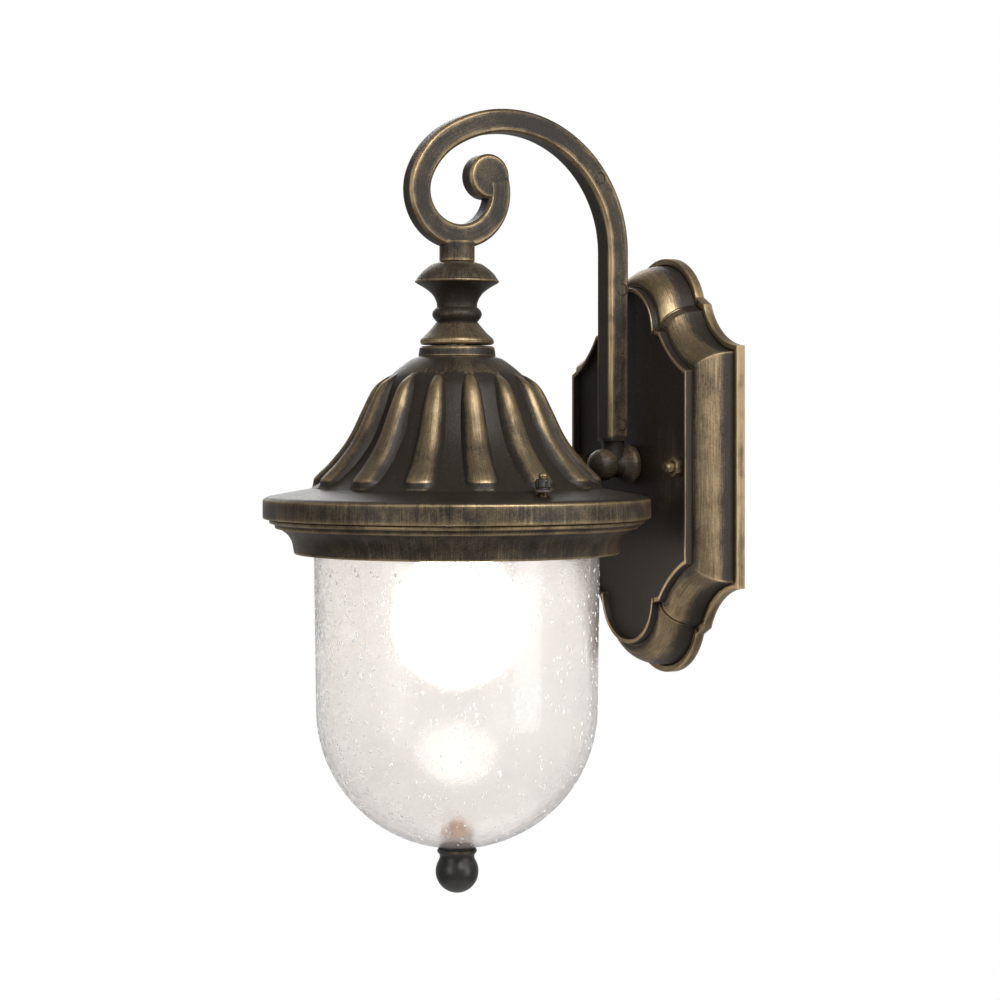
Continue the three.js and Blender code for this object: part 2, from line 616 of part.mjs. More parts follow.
const hanging = new THREE.Group();
hanging.position.y = -REACH;
lantern.add(hanging);
place(hanging, "turned_knob", turnedKnob(), bronze());
place(hanging, "canopy", canopy(), bronze());
place(hanging, "stem_nipple", stemNipple(), zincSteel());
place(hanging, "canopy_washer", canopyWasher(), zincSteel());
place(hanging, "canopy_locknut", canopyLocknut(), zincSteel());
place(hanging, "socket_nut_upper", socketNutUpper(), brass());
place(hanging, "socket_cup", socketCup(), zincSteel());
place(hanging, "socket_nut_lower", socketNutLower(), brass());
place(hanging, "socket_body", socketBody(), porcelain());
place(hanging, "screw_shell", screwShell(), brass());
place(hanging, "centre_contact", centreContact(), brass());
place(hanging, "lamp_cap", lampCap(), zincSteel());
const frosted = material(0xffffff, 0.3, 0, { transparent: true, opacity: 0.6 });
place(hanging, "lamp_envelope", lampEnvelope(), frosted);
place(hanging, "lamp_stem", lampStem(), clearGlass());
place(hanging, "glass_holder", glassHolder(), bronze());
place(hanging, "glass_gasket", glassGasket(), rubber());
place(hanging, "glass_shade", glassShade(), clearGlass());
for (const [side, sign] of [["left", -1], ["right", 1]]) {
  place(hanging, "holder_stud_" + side, holderStud(), brass(), sign * HOLDER_STUD_X);
  place(hanging, "knurled_nut_" + side, knurledNut(), darkBronze(), sign * HOLDER_STUD_X);
}
place(hanging, "finial", finial(), darkBronze());
place(hanging, "finial_stud", finialStud(), copper());
place(hanging, "shade_washer", shadeWasher(), rubber());
place(hanging, "coupling_cup", couplingCup(), copper());
place(hanging, "coupling_nut", couplingNut(), copper());

export default lantern;
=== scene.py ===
# Outdoor wall lantern: fine surfaces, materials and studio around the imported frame.
# Shapes are worked out in millimetres in the frame's axes and scaled to metres as meshes are made.
import random
from math import acos, asin, atan2, ceil, cos, dist, hypot, pi, radians, sin, sqrt

import bmesh
import bpy
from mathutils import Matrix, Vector
from mathutils.bvhtree import BVHTree
from mathutils.interpolate import poly_3d_calc


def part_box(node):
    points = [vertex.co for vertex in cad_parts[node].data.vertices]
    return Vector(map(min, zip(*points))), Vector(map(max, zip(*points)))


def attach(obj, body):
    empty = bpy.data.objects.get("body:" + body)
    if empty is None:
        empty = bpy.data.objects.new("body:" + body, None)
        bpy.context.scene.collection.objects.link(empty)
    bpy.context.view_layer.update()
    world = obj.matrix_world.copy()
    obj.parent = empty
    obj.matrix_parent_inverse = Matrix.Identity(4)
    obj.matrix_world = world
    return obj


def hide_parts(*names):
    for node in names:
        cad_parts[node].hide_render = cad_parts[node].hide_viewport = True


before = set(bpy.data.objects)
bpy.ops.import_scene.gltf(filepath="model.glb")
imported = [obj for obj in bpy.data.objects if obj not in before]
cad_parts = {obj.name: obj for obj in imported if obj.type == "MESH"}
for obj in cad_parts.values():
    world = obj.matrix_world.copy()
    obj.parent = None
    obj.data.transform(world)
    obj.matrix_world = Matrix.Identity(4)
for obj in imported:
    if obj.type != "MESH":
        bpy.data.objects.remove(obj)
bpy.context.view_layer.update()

MM = 0.001
scene = bpy.context.scene

# ---- sizes shared with the frame ----


def edges(node):
    low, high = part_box(node)
    return [v / MM for v in low], [v / MM for v in high]


def middle(node):
    low, high = edges(node)
    return [(a + b) / 2 for a, b in zip(low, high)]


REACH = -middle("glass_shade")[1]  # wall to the lantern's axis

# Backplate outline: each pair is [at the wall flange's edge, at the raised fillet].
HALF_WIDTH = (60.5, 48.6)
SIDE_HALF_HEIGHT = (56.2, 43.2)
PLATE_TOP = (99.7, 83.6)
LOBE_END = ((27.8, 79.8), (21.4, 62.7))
SCALLOP_END = ((33.8, 76.4), (27.0, 61.6))
SCALLOP_DEPTH = (5.0, 1.9)
MOULDING_WIDTH = 13.0
FLANGE = 4.8
FILLET_FRONT = 26.0
CREST_FRONT = 22.3
PANEL_FRONT = 22.9
PANEL_THICKNESS = 3.0

# Arm, in its own plane: u runs from the lantern's axis towards the wall.
ARM_WIDTH = 11.0
ARM_BACK = 90.4
ARM_FOOT_Z = 12.3
ARM_CHAMFER = 1.2
BIG_ARC = (26.0, 101.3, ARM_BACK - ARM_WIDTH / 2 - 26.0)
RING = (-0.1, 126.6, 20.8)
BLEND_RADIUS = 36.0
RING_END = 2 * pi + 0.3
SCROLL_DISC = (15.0, 133.9, 10.4)
THICKNESS_AT_AXIS = 9.3
THICKNESS_AT_LEG = 12.0
LEG_U = BIG_ARC[0] + BIG_ARC[2]
POST_RADIUS = 8.1
POST_BOTTOM = 94.4
POST_TOP = 103.5  # inside the ring
FOOT_Z = 0.5
COVER_END = 1.5 * pi - 0.42

STEM_BORE = 5.1  # through the foot, the post, the knob and the canopy
STUD_HOLE = 2.7
RIM_RADIUS = 88.8
RIM_BOTTOM = -23.3
FLUTES = 14
FLUTE_PHASE = radians(-44.3)
SHADE_RADIUS = 65.5
SHADE_WALL = 3.0
SHADE_SPRING = -110.0
SHADE_BOTTOM = -174.0
LAMP_Z = -71.0
LAMP_RADIUS = 30.0
BALL_RADIUS = 9.85
BALL_Z = -185.15

# ---- camera ----

AZIMUTH = radians(60)
DISTANCE = 1.078
LEFT_OFFSET = 0.0197
CAMERA_HEIGHT = 0.018
camera_data = bpy.data.cameras.new("camera")
camera_data.lens = 84.6
camera_data.sensor_width = 36
camera_data.shift_y = -0.072
camera_data.clip_start = 0.01
camera = bpy.data.objects.new("camera", camera_data)
scene.collection.objects.link(camera)
camera.location = (
    DISTANCE * sin(AZIMUTH) + LEFT_OFFSET * cos(AZIMUTH),
    -REACH * MM - DISTANCE * cos(AZIMUTH) + LEFT_OFFSET * sin(AZIMUTH),
    CAMERA_HEIGHT,
)
camera.rotation_euler = (pi / 2, 0, AZIMUTH)
scene.camera = camera

# ---- curves in the plane ----


def dense(points, step):
    """Adds points so that no stretch is longer than step."""
    result = [points[0]]
    for (a, b), (c, d) in zip(points, points[1:]):
        parts = max(1, ceil(hypot(c - a, d - b) / step))
        result += [(a + (c - a) * k / parts, b + (d - b) * k / parts) for k in range(1, parts + 1)]
    return result


def eased(points, closed=False, steps=4):
    """Polyline through (a, b) or (a, b, reach) corners; a corner with a reach is rounded off that far."""
    result = []
    for i, point in enumerate(points):
        end = not closed and i in (0, len(points) - 1)
        if end or len(point) < 3:
            result.append(tuple(point[:2]))
            continue
        here = Vector(point[:2])
        before = Vector(points[i - 1][:2]) - here
        after = Vector(points[(i + 1) % len(points)][:2]) - here
        start = here + before.normalized() * min(point[2], 0.49 * before.length)
        stop = here + after.normalized() * min(point[2], 0.49 * after.length)
        for k in range(steps + 1):
            t = k / steps
            result.append(tuple(start * (1 - t) ** 2 + here * 2 * t * (1 - t) + stop * t * t))
    return result


def catmull_rom(t, p, q, r, s):
    square = (2 * p - 5 * q + 4 * r - s) * t * t
    cube = (3 * q - p - 3 * r + s) * t**3
    return 0.5 * (2 * q + (r - p) * t + square + cube)


def smooth(points, steps=6):
    """Catmull-Rom curve through the points."""
    padded = [points[0], *points, points[-1]]
    result = [points[0]]
    for a, b, c, d in zip(padded, padded[1:], padded[2:], padded[3:]):
        for k in range(1, steps + 1):
            result.append(tuple(catmull_rom(k / steps, *four) for four in zip(a, b, c, d)))
    return result


def lookup(table, x):
    """Value at x on the straight lines between (x, value) pairs that rise in x."""
    if x <= table[0][0]:
        return table[0][1]
    for (x0, y0), (x1, y1) in zip(table, table[1:]):
        if x <= x1:
            return y0 + (y1 - y0) * (x - x0) / (x1 - x0)
    return table[-1][1]


def step_up(low, high, x):
    """0 below low, 1 above high and a smooth step between them."""
    t = min(1.0, max(0.0, (x - low) / (high - low)))
    return t * t * (3 - 2 * t)


def circle(x, y, radius, count):
    angles = [2 * pi * k / count for k in range(count)]
    return [(x + radius * cos(a), y + radius * sin(a)) for a in angles]


def lengths(points):
    """Distance along the polyline to each of its points."""
    result = [0.0]
    for p, q in zip(points, points[1:]):
        result.append(result[-1] + dist(p, q))
    return result


def fine(corners, step, closed=True):
    """Rounded corners joined by stretches no longer than step."""
    return dense(eased(corners, closed=closed, steps=3), step)


# ---- surfaces ----

EDGE_SOFT = 120.0  # curvature in 1/m from which a convex edge starts to rub bare
EDGE_SHARP = 900.0  # and at which it is rubbed most
EDGE_RUB = 0.62
TOUCHING = 2e-6  # points nearer than this, in metres, are one point


class Shell:
    """Quads in millimetres. Each vertex has a rub value, and each corner a streak coordinate:
    distance along the brush strokes, then distance across them."""

    def __init__(self):
        self.verts = []
        self.rub = []
        self.faces = []
        self.streaks = []

    def grid(self, rows, row_at, column_at, rub=0.0, closed_rows=False, swap=False):
        """Skin over rows of points. column_at has one value more than a row has points, for the seam."""
        first = len(self.verts)
        count = len(rows[0])
        for i, row in enumerate(rows):
            for j, point in enumerate(row):
                self.verts.append(point)
                self.rub.append(rub(i, j, point) if callable(rub) else rub)
        for i in range(len(rows) if closed_rows else len(rows) - 1):
            i2 = (i + 1) % len(rows)
            for j in range(count):
                j2 = (j + 1) % count
                self.faces.append([first + i * count + j, first + i * count + j2,
                                   first + i2 * count + j2, first + i2 * count + j])
                corners = [(row_at[i], column_at[j]), (row_at[i], column_at[j + 1]),
                           (row_at[i2], column_at[j + 1]), (row_at[i2], column_at[j])]
                self.streaks.append([(b, a) if swap else (a, b) for a, b in corners])
        return first

    def cap(self, first, count):
        """One flat face over count points that start at index first."""
        self.faces.append(list(range(first, first + count)))
        self.streaks.append([(self.verts[k][2], self.verts[k][0]) for k in range(first, first + count)])

    def mesh(self, sharp=35):
        mesh = bpy.data.meshes.new("shell")
        mesh.from_pydata([tuple(c * MM for c in v) for v in self.verts], [], self.faces)
        layer = mesh.uv_layers.new(name="brush")
        flat = [c for face in self.streaks for corner in face for c in corner]
        layer.data.foreach_set("uv", flat)
        mesh.attributes.new("wear", "FLOAT", "POINT").data.foreach_set("value", self.rub)
        wear_edges(mesh)
        return smoothed(mesh, sharp)


def merged(mesh):
    """Working copy of a mesh, with touching points merged and faces turned outwards."""
    work = bmesh.new()
    work.from_mesh(mesh)
    bmesh.ops.remove_doubles(work, verts=work.verts, dist=TOUCHING)
    bmesh.ops.recalc_face_normals(work, faces=work.faces)
    return work


def smoothed(mesh, sharp):
    """Shades a mesh smooth, apart from edges that bend by more than an angle in degrees."""
    mesh.polygons.foreach_set("use_smooth", [True] * len(mesh.polygons))
    mesh.set_sharp_from_angle(angle=radians(sharp))
    return mesh


def wear_edges(mesh):
    """Cleans a mesh and adds the wear of its convex edges."""
    work = merged(mesh)
    work.normal_update()
    wear = work.verts.layers.float["wear"]
    crown = {}
    for v in work.verts:
        bends = [0.0]
        for e in v.link_edges:
            reach = e.other_vert(v).co - v.co
            if reach.length_squared > 1e-14:
                bends.append(-2 * reach.dot(v.normal) / reach.length_squared)
        crown[v] = step_up(EDGE_SOFT, EDGE_SHARP, max(bends))
    for v in work.verts:
        near = [crown[e.other_vert(v)] for e in v.link_edges]
        edge = 0.7 * crown[v] + 0.3 * sum(near) / max(1, len(near))
        v[wear] = min(1.0, v[wear] + EDGE_RUB * edge)
    work.to_mesh(mesh)
    work.free()


def hanging(x, y, z):
    """Puts a point given from the lantern's axis in the frame."""
    return (x, y - REACH, z)


def on_wall_at(x, z):
    """Placement of turned pieces that stand out of the wall at (x, z)."""
    return lambda a, b, depth: (a + x, -depth, b + z)


def hanging_at(x, y):
    """Placement of turned pieces on an upright axis at (x, y)."""
    return lambda a, b, height: (a + x, b + y, height)


def across_arm_at(u, z):
    """Placement of turned pieces whose axis goes through the arm's flat sides."""
    return lambda a, b, side: (side, a + u - REACH, b + z)


def lathe(profile, columns=144, rub=0.0, place=hanging, closed=True, ripple=None):
    """Turns (radius, z) points about the axis. ripple(angle, radius, z) gives a changed radius."""
    angles = [2 * pi * j / columns for j in range(columns + 1)]
    rows = []
    for radius, z in profile:
        row = []
        for angle in angles[:-1]:
            r = ripple(angle, radius, z) if ripple else radius
            row.append(place(r * cos(angle), r * sin(angle), z))
        rows.append(row)
    widest = max(radius for radius, _ in profile)
    along = lengths(profile)
    shell = Shell()
    paint = (lambda i, j, p: rub(*profile[i])) if callable(rub) else rub
    shell.grid(rows, along, [widest * angle for angle in angles], paint, closed_rows=closed)
    return shell


# ---- pieces on the frame ----

WALL = "wall_frame"
SHADE = "shade_assembly"


def add(name, mesh, body, slot, *nodes, material=None):
    """Puts a piece on its body, in its slot's finish unless it is given another."""
    mesh.name = name
    piece = bpy.data.objects.new(name, mesh)
    scene.collection.objects.link(piece)
    piece.data.materials.clear()
    piece.data.materials.append(material or FINISHES[slot])
    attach(piece, body)
    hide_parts(*nodes)


def baked(holder):
    """Mesh of an object as it shows, in place of the object."""
    bpy.context.view_layer.update()
    mesh = bpy.data.meshes.new_from_object(holder.evaluated_get(bpy.context.evaluated_depsgraph_get()))
    bpy.data.objects.remove(holder)
    return mesh


def united(target, others, operation="UNION", sharp=35):
    """Boolean of a mesh with others, as one new mesh."""
    base = bpy.data.objects.new("whole", target)
    scene.collection.objects.link(base)
    tools = []
    for mesh in others:
        tool = bpy.data.objects.new("tool", mesh)
        scene.collection.objects.link(tool)
        change = base.modifiers.new("join", "BOOLEAN")
        change.operation = operation
        change.solver = "EXACT"
        change.object = tool
        tools.append(tool)
    mesh = baked(base)
    for tool in tools:
        bpy.data.objects.remove(tool)
    repaint(mesh, [target, *others])
    mesh.set_sharp_from_angle(angle=radians(sharp))
    return mesh


def repaint(mesh, sources):
    """A boolean mixes up the painted layers, so every corner takes them from the nearest source face."""
    skins = []
    for source in sources:
        corners = [v.co for v in source.vertices]
        faces = [list(p.vertices) for p in source.polygons]
        skins.append((source, corners, BVHTree.FromPolygons(corners, faces)))
    brush = mesh.uv_layers["brush"].data
    wear = mesh.attributes["wear"].data
    for polygon in mesh.polygons:
        found = [(tree.find_nearest(polygon.center)[2:4], source, corners) for source, corners, tree in skins]
        (index, _), source, corners = min(found, key=lambda hit: hit[0][1])
        face = source.polygons[index]
        ring = [corners[k] for k in face.vertices]
        old_brush = source.uv_layers["brush"].data
        old_wear = source.attributes["wear"].data
        for loop in polygon.loop_indices:
            vertex = mesh.loops[loop].vertex_index
            shares = poly_3d_calc(ring, mesh.vertices[vertex].co)
            pairs = list(zip(shares, face.loop_indices, face.vertices))
            brush[loop].uv = sum((old_brush[k].uv * share for share, k, _ in pairs), Vector((0, 0)))
            wear[vertex].value = sum(old_wear[k].value * share for share, _, k in pairs)


# ---- materials ----


class Nodes:
    """Short ways to add nodes to a shader tree."""

    def __init__(self, tree):
        self.tree = tree

    def node(self, kind):
        return self.tree.nodes.new(kind)

    def feed(self, socket, value):
        if isinstance(value, bpy.types.NodeSocket):
            self.tree.links.new(value, socket)
        elif isinstance(value, tuple) and len(value) == 3 and socket.type == "RGBA":
            socket.default_value = (*value, 1)
        else:
            socket.default_value = value

    def math(self, operation, a, b):
        node = self.node("ShaderNodeMath")
        node.operation = operation
        self.feed(node.inputs[0], a)
        self.feed(node.inputs[1], b)
        return node.outputs[0]

    def spread(self, value, low, high, to_low=0.0, to_high=1.0):
        """Smooth step from to_low to to_high as the value goes from low to high."""
        node = self.node("ShaderNodeMapRange")
        node.interpolation_type = "SMOOTHSTEP"
        self.feed(node.inputs[0], value)
        for k, limit in enumerate((low, high, to_low, to_high)):
            node.inputs[k + 1].default_value = limit
        return node.outputs[0]


class Look(Nodes):
    """One node material round a Principled shader."""

    def __init__(self, name):
        self.material = bpy.data.materials.new(name)
        self.material.use_nodes = True
        super().__init__(self.material.node_tree)
        self.shader = self.tree.nodes["Principled BSDF"]
        self.object_space = self.node("ShaderNodeTexCoord").outputs["Object"]

    def set(self, name, value):
        self.feed(self.shader.inputs[name], value)

    def colour(self, factor, first, second):
        self.set("Base Color", self.mixed(factor, first, second))

    def rough(self, marks, low, high):
        """Roughness from low to high over the middle of the marks' range."""
        self.set("Roughness", self.spread(marks, 0.3, 0.7, low, high))

    def relief(self, height, distance, under=None):
        self.set("Normal", self.bump(height, distance, under))

    def scaled(self, coords, scale):
        node = self.node("ShaderNodeMapping")
        self.feed(node.inputs["Vector"], coords)
        node.inputs["Scale"].default_value = scale
        return node.outputs[0]

    def noise(self, scale, detail=3.0, roughness=0.55, coords=None):
        node = self.node("ShaderNodeTexNoise")
        self.feed(node.inputs["Vector"], coords or self.object_space)
        node.inputs["Scale"].default_value = scale
        node.inputs["Detail"].default_value = detail
        node.inputs["Roughness"].default_value = roughness
        return node.outputs[0]

    def cells(self, scale, coords=None):
        node = self.node("ShaderNodeTexVoronoi")
        self.feed(node.inputs["Vector"], coords or self.object_space)
        node.inputs["Scale"].default_value = scale
        return node.outputs["Distance"]

    def mixed(self, factor, first, second):
        node = self.node("ShaderNodeMix")
        node.data_type = "RGBA"
        self.feed(node.inputs["Factor"], factor)
        self.feed(node.inputs[6], first)
        self.feed(node.inputs[7], second)
        return node.outputs[2]

    def bump(self, height, distance, under=None):
        node = self.node("ShaderNodeBump")
        node.inputs["Strength"].default_value = 1.0
        node.inputs["Distance"].default_value = distance
        self.feed(node.inputs["Height"], height)
        if under:
            self.feed(node.inputs["Normal"], under)
        return node.outputs[0]

    def attribute(self, name):
        node = self.node("ShaderNodeAttribute")
        node.attribute_name = name
        return node.outputs["Fac"]

    def streaks(self):
        """Streak coordinates of the brush strokes, in millimetres."""
        node = self.node("ShaderNodeUVMap")
        node.uv_map = "brush"
        return node.outputs[0]


def brushed_bronze(name, streak=0.5, blotch=0.5):
    """Black coat over cast metal, rubbed back to antique gold where the wear is high."""
    look = Look(name)
    brush = look.streaks()
    strokes = look.noise(1.0, 4, 0.6, look.scaled(brush, (0.05, 1.9, 1)))
    hairs = look.noise(1.0, 2, 0.5, look.scaled(brush, (0.14, 5.5, 1)))
    patches = look.noise(75, 3, 0.6)
    grain = look.noise(1000, 3, 0.75)
    value = look.math("MULTIPLY", look.attribute("wear"), look.spread(patches, 0.25, 0.65, 0.72, 1.12))
    for marks, depth in ((strokes, streak), (hairs, streak * 0.6), (patches, blotch), (grain, 0.5)):
        value = look.math("ADD", value, look.math("MULTIPLY", look.math("SUBTRACT", marks, 0.5), depth))
    bare = look.spread(value, 0.05, 1.0)
    coat = look.mixed(grain, (0.011, 0.0090, 0.0068), (0.036, 0.0285, 0.0200))
    gold = look.mixed(strokes, (0.17, 0.110, 0.050), (0.62, 0.47, 0.285))
    look.colour(bare, coat, gold)
    look.set("Metallic", look.spread(bare, 0.0, 0.6, 0.12, 0.92))
    look.rough(grain, 0.36, 0.52)
    look.set("Specular IOR Level", 0.28)
    skin = look.bump(grain, 0.00010)
    look.relief(hairs, 0.00006, skin)
    return look.material


def dark_satin(name):
    """Near-black paint with a soft orange-peel skin and faint rubbed edges."""
    look = Look(name)
    patches = look.noise(140, 3)
    peel = look.noise(1100, 2)
    bare = look.spread(look.math("ADD", look.attribute("wear"), patches), 0.95, 1.7)
    coat = look.mixed(patches, (0.018, 0.017, 0.017), (0.034, 0.031, 0.029))
    look.colour(bare, coat, (0.28, 0.20, 0.12))
    look.set("Metallic", look.spread(bare, 0.0, 1.0, 0.15, 0.8))
    look.rough(patches, 0.33, 0.45)
    look.relief(peel, 0.00005)
    return look.material


def plated(name, low, high, roughness):
    """Plated or bare metal with cloudy tarnish and fine turning marks."""
    look = Look(name)
    clouds = look.noise(260, 4, 0.6)
    marks = look.noise(1.0, 2, 0.5, look.scaled(look.object_space, (300, 300, 5200)))
    look.colour(clouds, low, high)
    look.set("Metallic", 1.0)
    look.rough(clouds, roughness * 0.8, roughness * 1.3)
    look.relief(marks, 0.00002)
    return look.material


def ceramic(name):
    """Glazed white porcelain."""
    look = Look(name)
    clouds = look.noise(60, 3)
    look.colour(clouds, (0.78, 0.76, 0.70), (0.88, 0.87, 0.83))
    look.rough(clouds, 0.16, 0.26)
    look.relief(look.noise(400, 2), 0.00004)
    return look.material


def rubbery(name, low, high, roughness):
    """Soft plastic, rubber or paint with a fine grain."""
    look = Look(name)
    grain = look.noise(1500, 3)
    look.colour(look.noise(200, 3), low, high)
    look.rough(grain, roughness - 0.08, roughness + 0.08)
    look.relief(grain, 0.00005)
    return look.material


def seeded_glass(name):
    """Blown glass with a faint rosy milkiness, slow waves and fine seeds."""
    look = Look(name)
    waves = look.noise(28, 3, 0.5)
    fine = look.cells(520, look.scaled(look.object_space, (1, 1, 0.5)))
    seed = look.spread(fine, 0.06, 0.2, 1.0, 0.0)
    clear = look.mixed(waves, (0.865, 0.835, 0.815), (0.945, 0.925, 0.91))
    look.colour(seed, clear, (1.0, 0.99, 0.975))
    look.set("Transmission Weight", look.spread(seed, 0.0, 1.0, 0.93, 0.85))
    look.rough(waves, 0.10, 0.17)
    look.set("IOR", 1.4)
    look.set("Specular IOR Level", 0.25)
    skin = look.bump(waves, 0.0004)
    look.relief(seed, 0.00006, skin)
    return look.material


def seed_glass_painted_glow(name):
    """Small bubbles, whiter than the glass round them, with a painted glow that stands in for the lamp's
    light they catch.
    """
    look = Look(name)
    clouds = look.noise(700, 2)
    look.colour(clouds, (0.96, 0.945, 0.92), (1.0, 0.995, 0.985))
    # painted glow: a faint emission in place of the lamp's light caught by the seeds
    look.set("Emission Color", look.mixed(clouds, (1.0, 0.95, 0.9), (1.0, 0.99, 0.97)))
    look.set("Emission Strength", 0.18)
    look.rough(clouds, 0.2, 0.4)
    look.relief(clouds, 0.00003)
    return look.material


def lit_envelope(name):
    """Frosted bulb that glows, brightest round its middle."""
    look = Look(name)
    cloud = look.noise(40, 2)
    look.set("Base Color", (0.95, 0.93, 0.9))
    look.set("Roughness", 0.4)
    look.set("Emission Color", look.mixed(cloud, (1.0, 0.93, 0.84), (1.0, 0.97, 0.92)))
    facing = look.node("ShaderNodeLayerWeight")
    look.set("Emission Strength", look.spread(facing.outputs["Facing"], 0.35, 0.95, 8.5, 0.7))
    look.relief(look.noise(900, 2), 0.00002)
    return look.material


def clear_stem(name):
    """Clear pressed glass."""
    look = Look(name)
    ripples = look.noise(160, 2)
    look.colour(ripples, (0.93, 0.95, 0.95), (0.98, 0.98, 0.98))
    look.set("Transmission Weight", 0.95)
    look.rough(ripples, 0.03, 0.1)
    look.relief(ripples, 0.0002)
    return look.material


PLATE_BRONZE = brushed_bronze("plate_bronze", streak=0.55, blotch=0.25)
SEEDS_PAINTED_GLOW = seed_glass_painted_glow("glass_seeds")

# Finish of every slot: (name, maker, its values).
FINISHES = {name: make(name, *values) for name, make, *values in (
    ("antique_bronze", brushed_bronze),
    ("dark_bronze", dark_satin),
    ("zinc_steel", plated, (0.42, 0.43, 0.42), (0.66, 0.66, 0.63), 0.34),
    ("brass_hardware", plated, (0.13, 0.095, 0.05), (0.40, 0.31, 0.18), 0.36),
    ("copper_plate", plated, (0.30, 0.16, 0.085), (0.52, 0.30, 0.17), 0.34),
    ("ground_green", rubbery, (0.02, 0.16, 0.05), (0.04, 0.24, 0.09), 0.35),
    ("rubber_black", rubbery, (0.012, 0.012, 0.012), (0.03, 0.03, 0.03), 0.75),
    ("lead_sleeve", rubbery, (0.55, 0.52, 0.45), (0.68, 0.66, 0.58), 0.6),
    ("porcelain", ceramic),
    ("seeded_glass", seeded_glass),
    ("lamp_glass", lit_envelope),
    ("stem_glass", clear_stem),
)}

# ---- backplate ----

# Shares of the way along the plate's straight side and along the step from scallop to lobe.
STRAIGHT = (0.0, 0.01, 0.03, 0.08, 0.2, 0.35, 0.5, 0.65, 0.8, 0.92, 0.97, 0.99)
STEP = (0.0, 0.3, 0.56, 0.66, 0.76, 0.86)
GROOVE_DEPTH = 0.16  # of the moulding's height, where lobe and scallop meet


def bowed(p, q, rise, steps):
    """Points of an arc from p to q, without q, that bows to the left of the way by rise."""
    p, q = Vector(p), Vector(q)
    half = (q - p).length / 2
    radius = (half * half + rise * rise) / (2 * rise)
    along = (q - p).normalized()
    left = Vector((-along.y, along.x))
    centre = (p + q) / 2 + left * (rise - radius)
    span = 2 * asin(half / abs(radius)) * (1 if radius > 0 else -1)
    angles = [span * (k / steps - 0.5) for k in range(steps)]
    return [tuple(centre + left * radius * cos(a) + along * radius * sin(a)) for a in angles]


def straight(p, q, shares):
    return [(p[0] + (q[0] - p[0]) * t, p[1] + (q[1] - p[1]) * t) for t in shares]


def plate_outline(inset):
    """Loop of (x, z) at a distance in from the plate's edge, with how deep the groove is at each point."""
    def at(pair):
        return pair[0] + (pair[1] - pair[0]) * inset / MOULDING_WIDTH

    def both(ends):
        return (at((ends[0][0], ends[1][0])), at((ends[0][1], ends[1][1])))

    corner = (at(HALF_WIDTH), at(SIDE_HALF_HEIGHT))
    scallop_end = both(SCALLOP_END)
    lobe_end = both(LOBE_END)
    quarter = [(p, 0.0) for p in bowed(corner, scallop_end, at(SCALLOP_DEPTH), 14)]
    step = straight(scallop_end, lobe_end, STEP)
    quarter += list(zip(step, (0.0, 0.0, 0.0, 1.0, 1.0, 0.0)))
    lobe = bowed(lobe_end, (-lobe_end[0], lobe_end[1]), lobe_end[1] - at(PLATE_TOP), 48)
    mirrored = [((-p[0], p[1]), g) for p, g in quarter[::-1]]
    upper = quarter + [(p, 0.0) for p in lobe] + [((-lobe_end[0], lobe_end[1]), 0.0)] + mirrored
    side = straight((-corner[0], corner[1]), (-corner[0], -corner[1]), STRAIGHT)[1:]
    half = upper + [((-corner[0], corner[1]), 0.0)] + [(p, 0.0) for p in side]
    # the lower half is the upper one turned half round
    return half + [((-p[0], -p[1]), g) for p, g in half]


def backplate():
    foot = FLANGE + 0.6
    crest = [(11 - 8 * cos(t), foot + (CREST_FRONT - foot) * sin(t))
             for t in (pi / 2 * k / 14 for k in range(1, 15))]
    profile = eased([
        (13.8, PANEL_FRONT - PANEL_THICKNESS), (13.0, 18.6, 1.5), (7.5, 9, 3), (4, 0, 0.3), (0, 0, 0.4),
        (0, FLANGE, 0.7), (2.2, FLANGE, 0.4), (2.8, FLANGE - 0.8, 0.2), *crest[:-1], (11.0, CREST_FRONT, 0.2),
        (11.6, CREST_FRONT - 0.2, 0.3), (11.9, FILLET_FRONT, 0.55), (13.3, FILLET_FRONT, 0.55),
        (13.8, PANEL_FRONT), (14.4, PANEL_FRONT), (15.2, PANEL_FRONT),
    ], steps=3)
    profile = dense(profile, 1.6)
    loops = []
    for inset, depth in profile:
        loop = []
        for (x, z), groove in plate_outline(inset):
            cut = groove * GROOVE_DEPTH * max(0.0, depth - FLANGE) if 2.8 < inset < 11.9 else 0.0
            loop.append((x, -(depth - cut), z))
        loops.append(loop)
    outline = [(x, z) for (x, z), _ in plate_outline(0)]
    round_edge = lengths(outline + outline[:1])
    grooves = [g for _, g in plate_outline(0)]

    def rub(i, j, point):
        inset, depth = profile[i]
        if inset > 14:
            return -0.4
        if grooves[j] > 0 and depth > FLANGE:
            return -0.6
        if depth <= FLANGE + 0.1 and inset < 2.4:
            return 0.6
        if 11.2 < inset < 13.75:
            return 0.6 if depth > FILLET_FRONT - 0.4 else -0.3
        if 3 < inset <= 11.2 and depth > foot:
            on_side = step_up(42, 46, abs(point[0]))
            crown = (1 - step_up(8.0 - 1.5 * on_side, 10.9, inset)) * step_up(2.9, 5.0 - on_side, inset)
            return (0.62 - 0.07 * on_side) * crown
        return 0.0

    shell = Shell()
    first = shell.grid(loops, lengths(profile), round_edge, rub, swap=True)
    count = len(loops[0])
    shell.cap(first, count)
    shell.cap(first + count * (len(loops) - 1), count)
    mesh = shell.mesh(32)
    holes = [drill(STUD_HOLE, 15, 30, on_wall_at(x, 0)) for x in pair_at("mounting_stud")]
    holes.append(drill(STEM_BORE, 15, 30, on_wall_at(0, FOOT_Z)))
    mesh = united(mesh, holes, "DIFFERENCE", 32)
    add("backplate_casting", mesh, WALL, "antique_bronze", "backplate", material=PLATE_BRONZE)


def pair_at(node):
    """x of the left and the right one of a pair of nodes."""
    return [middle(node + side)[0] for side in ("_left", "_right")]


def drill(radius, low, high, place):
    profile = [(0, low), (radius, low), (radius, high), (0, high)]
    return lathe(profile, 48, place=place, closed=False).mesh()


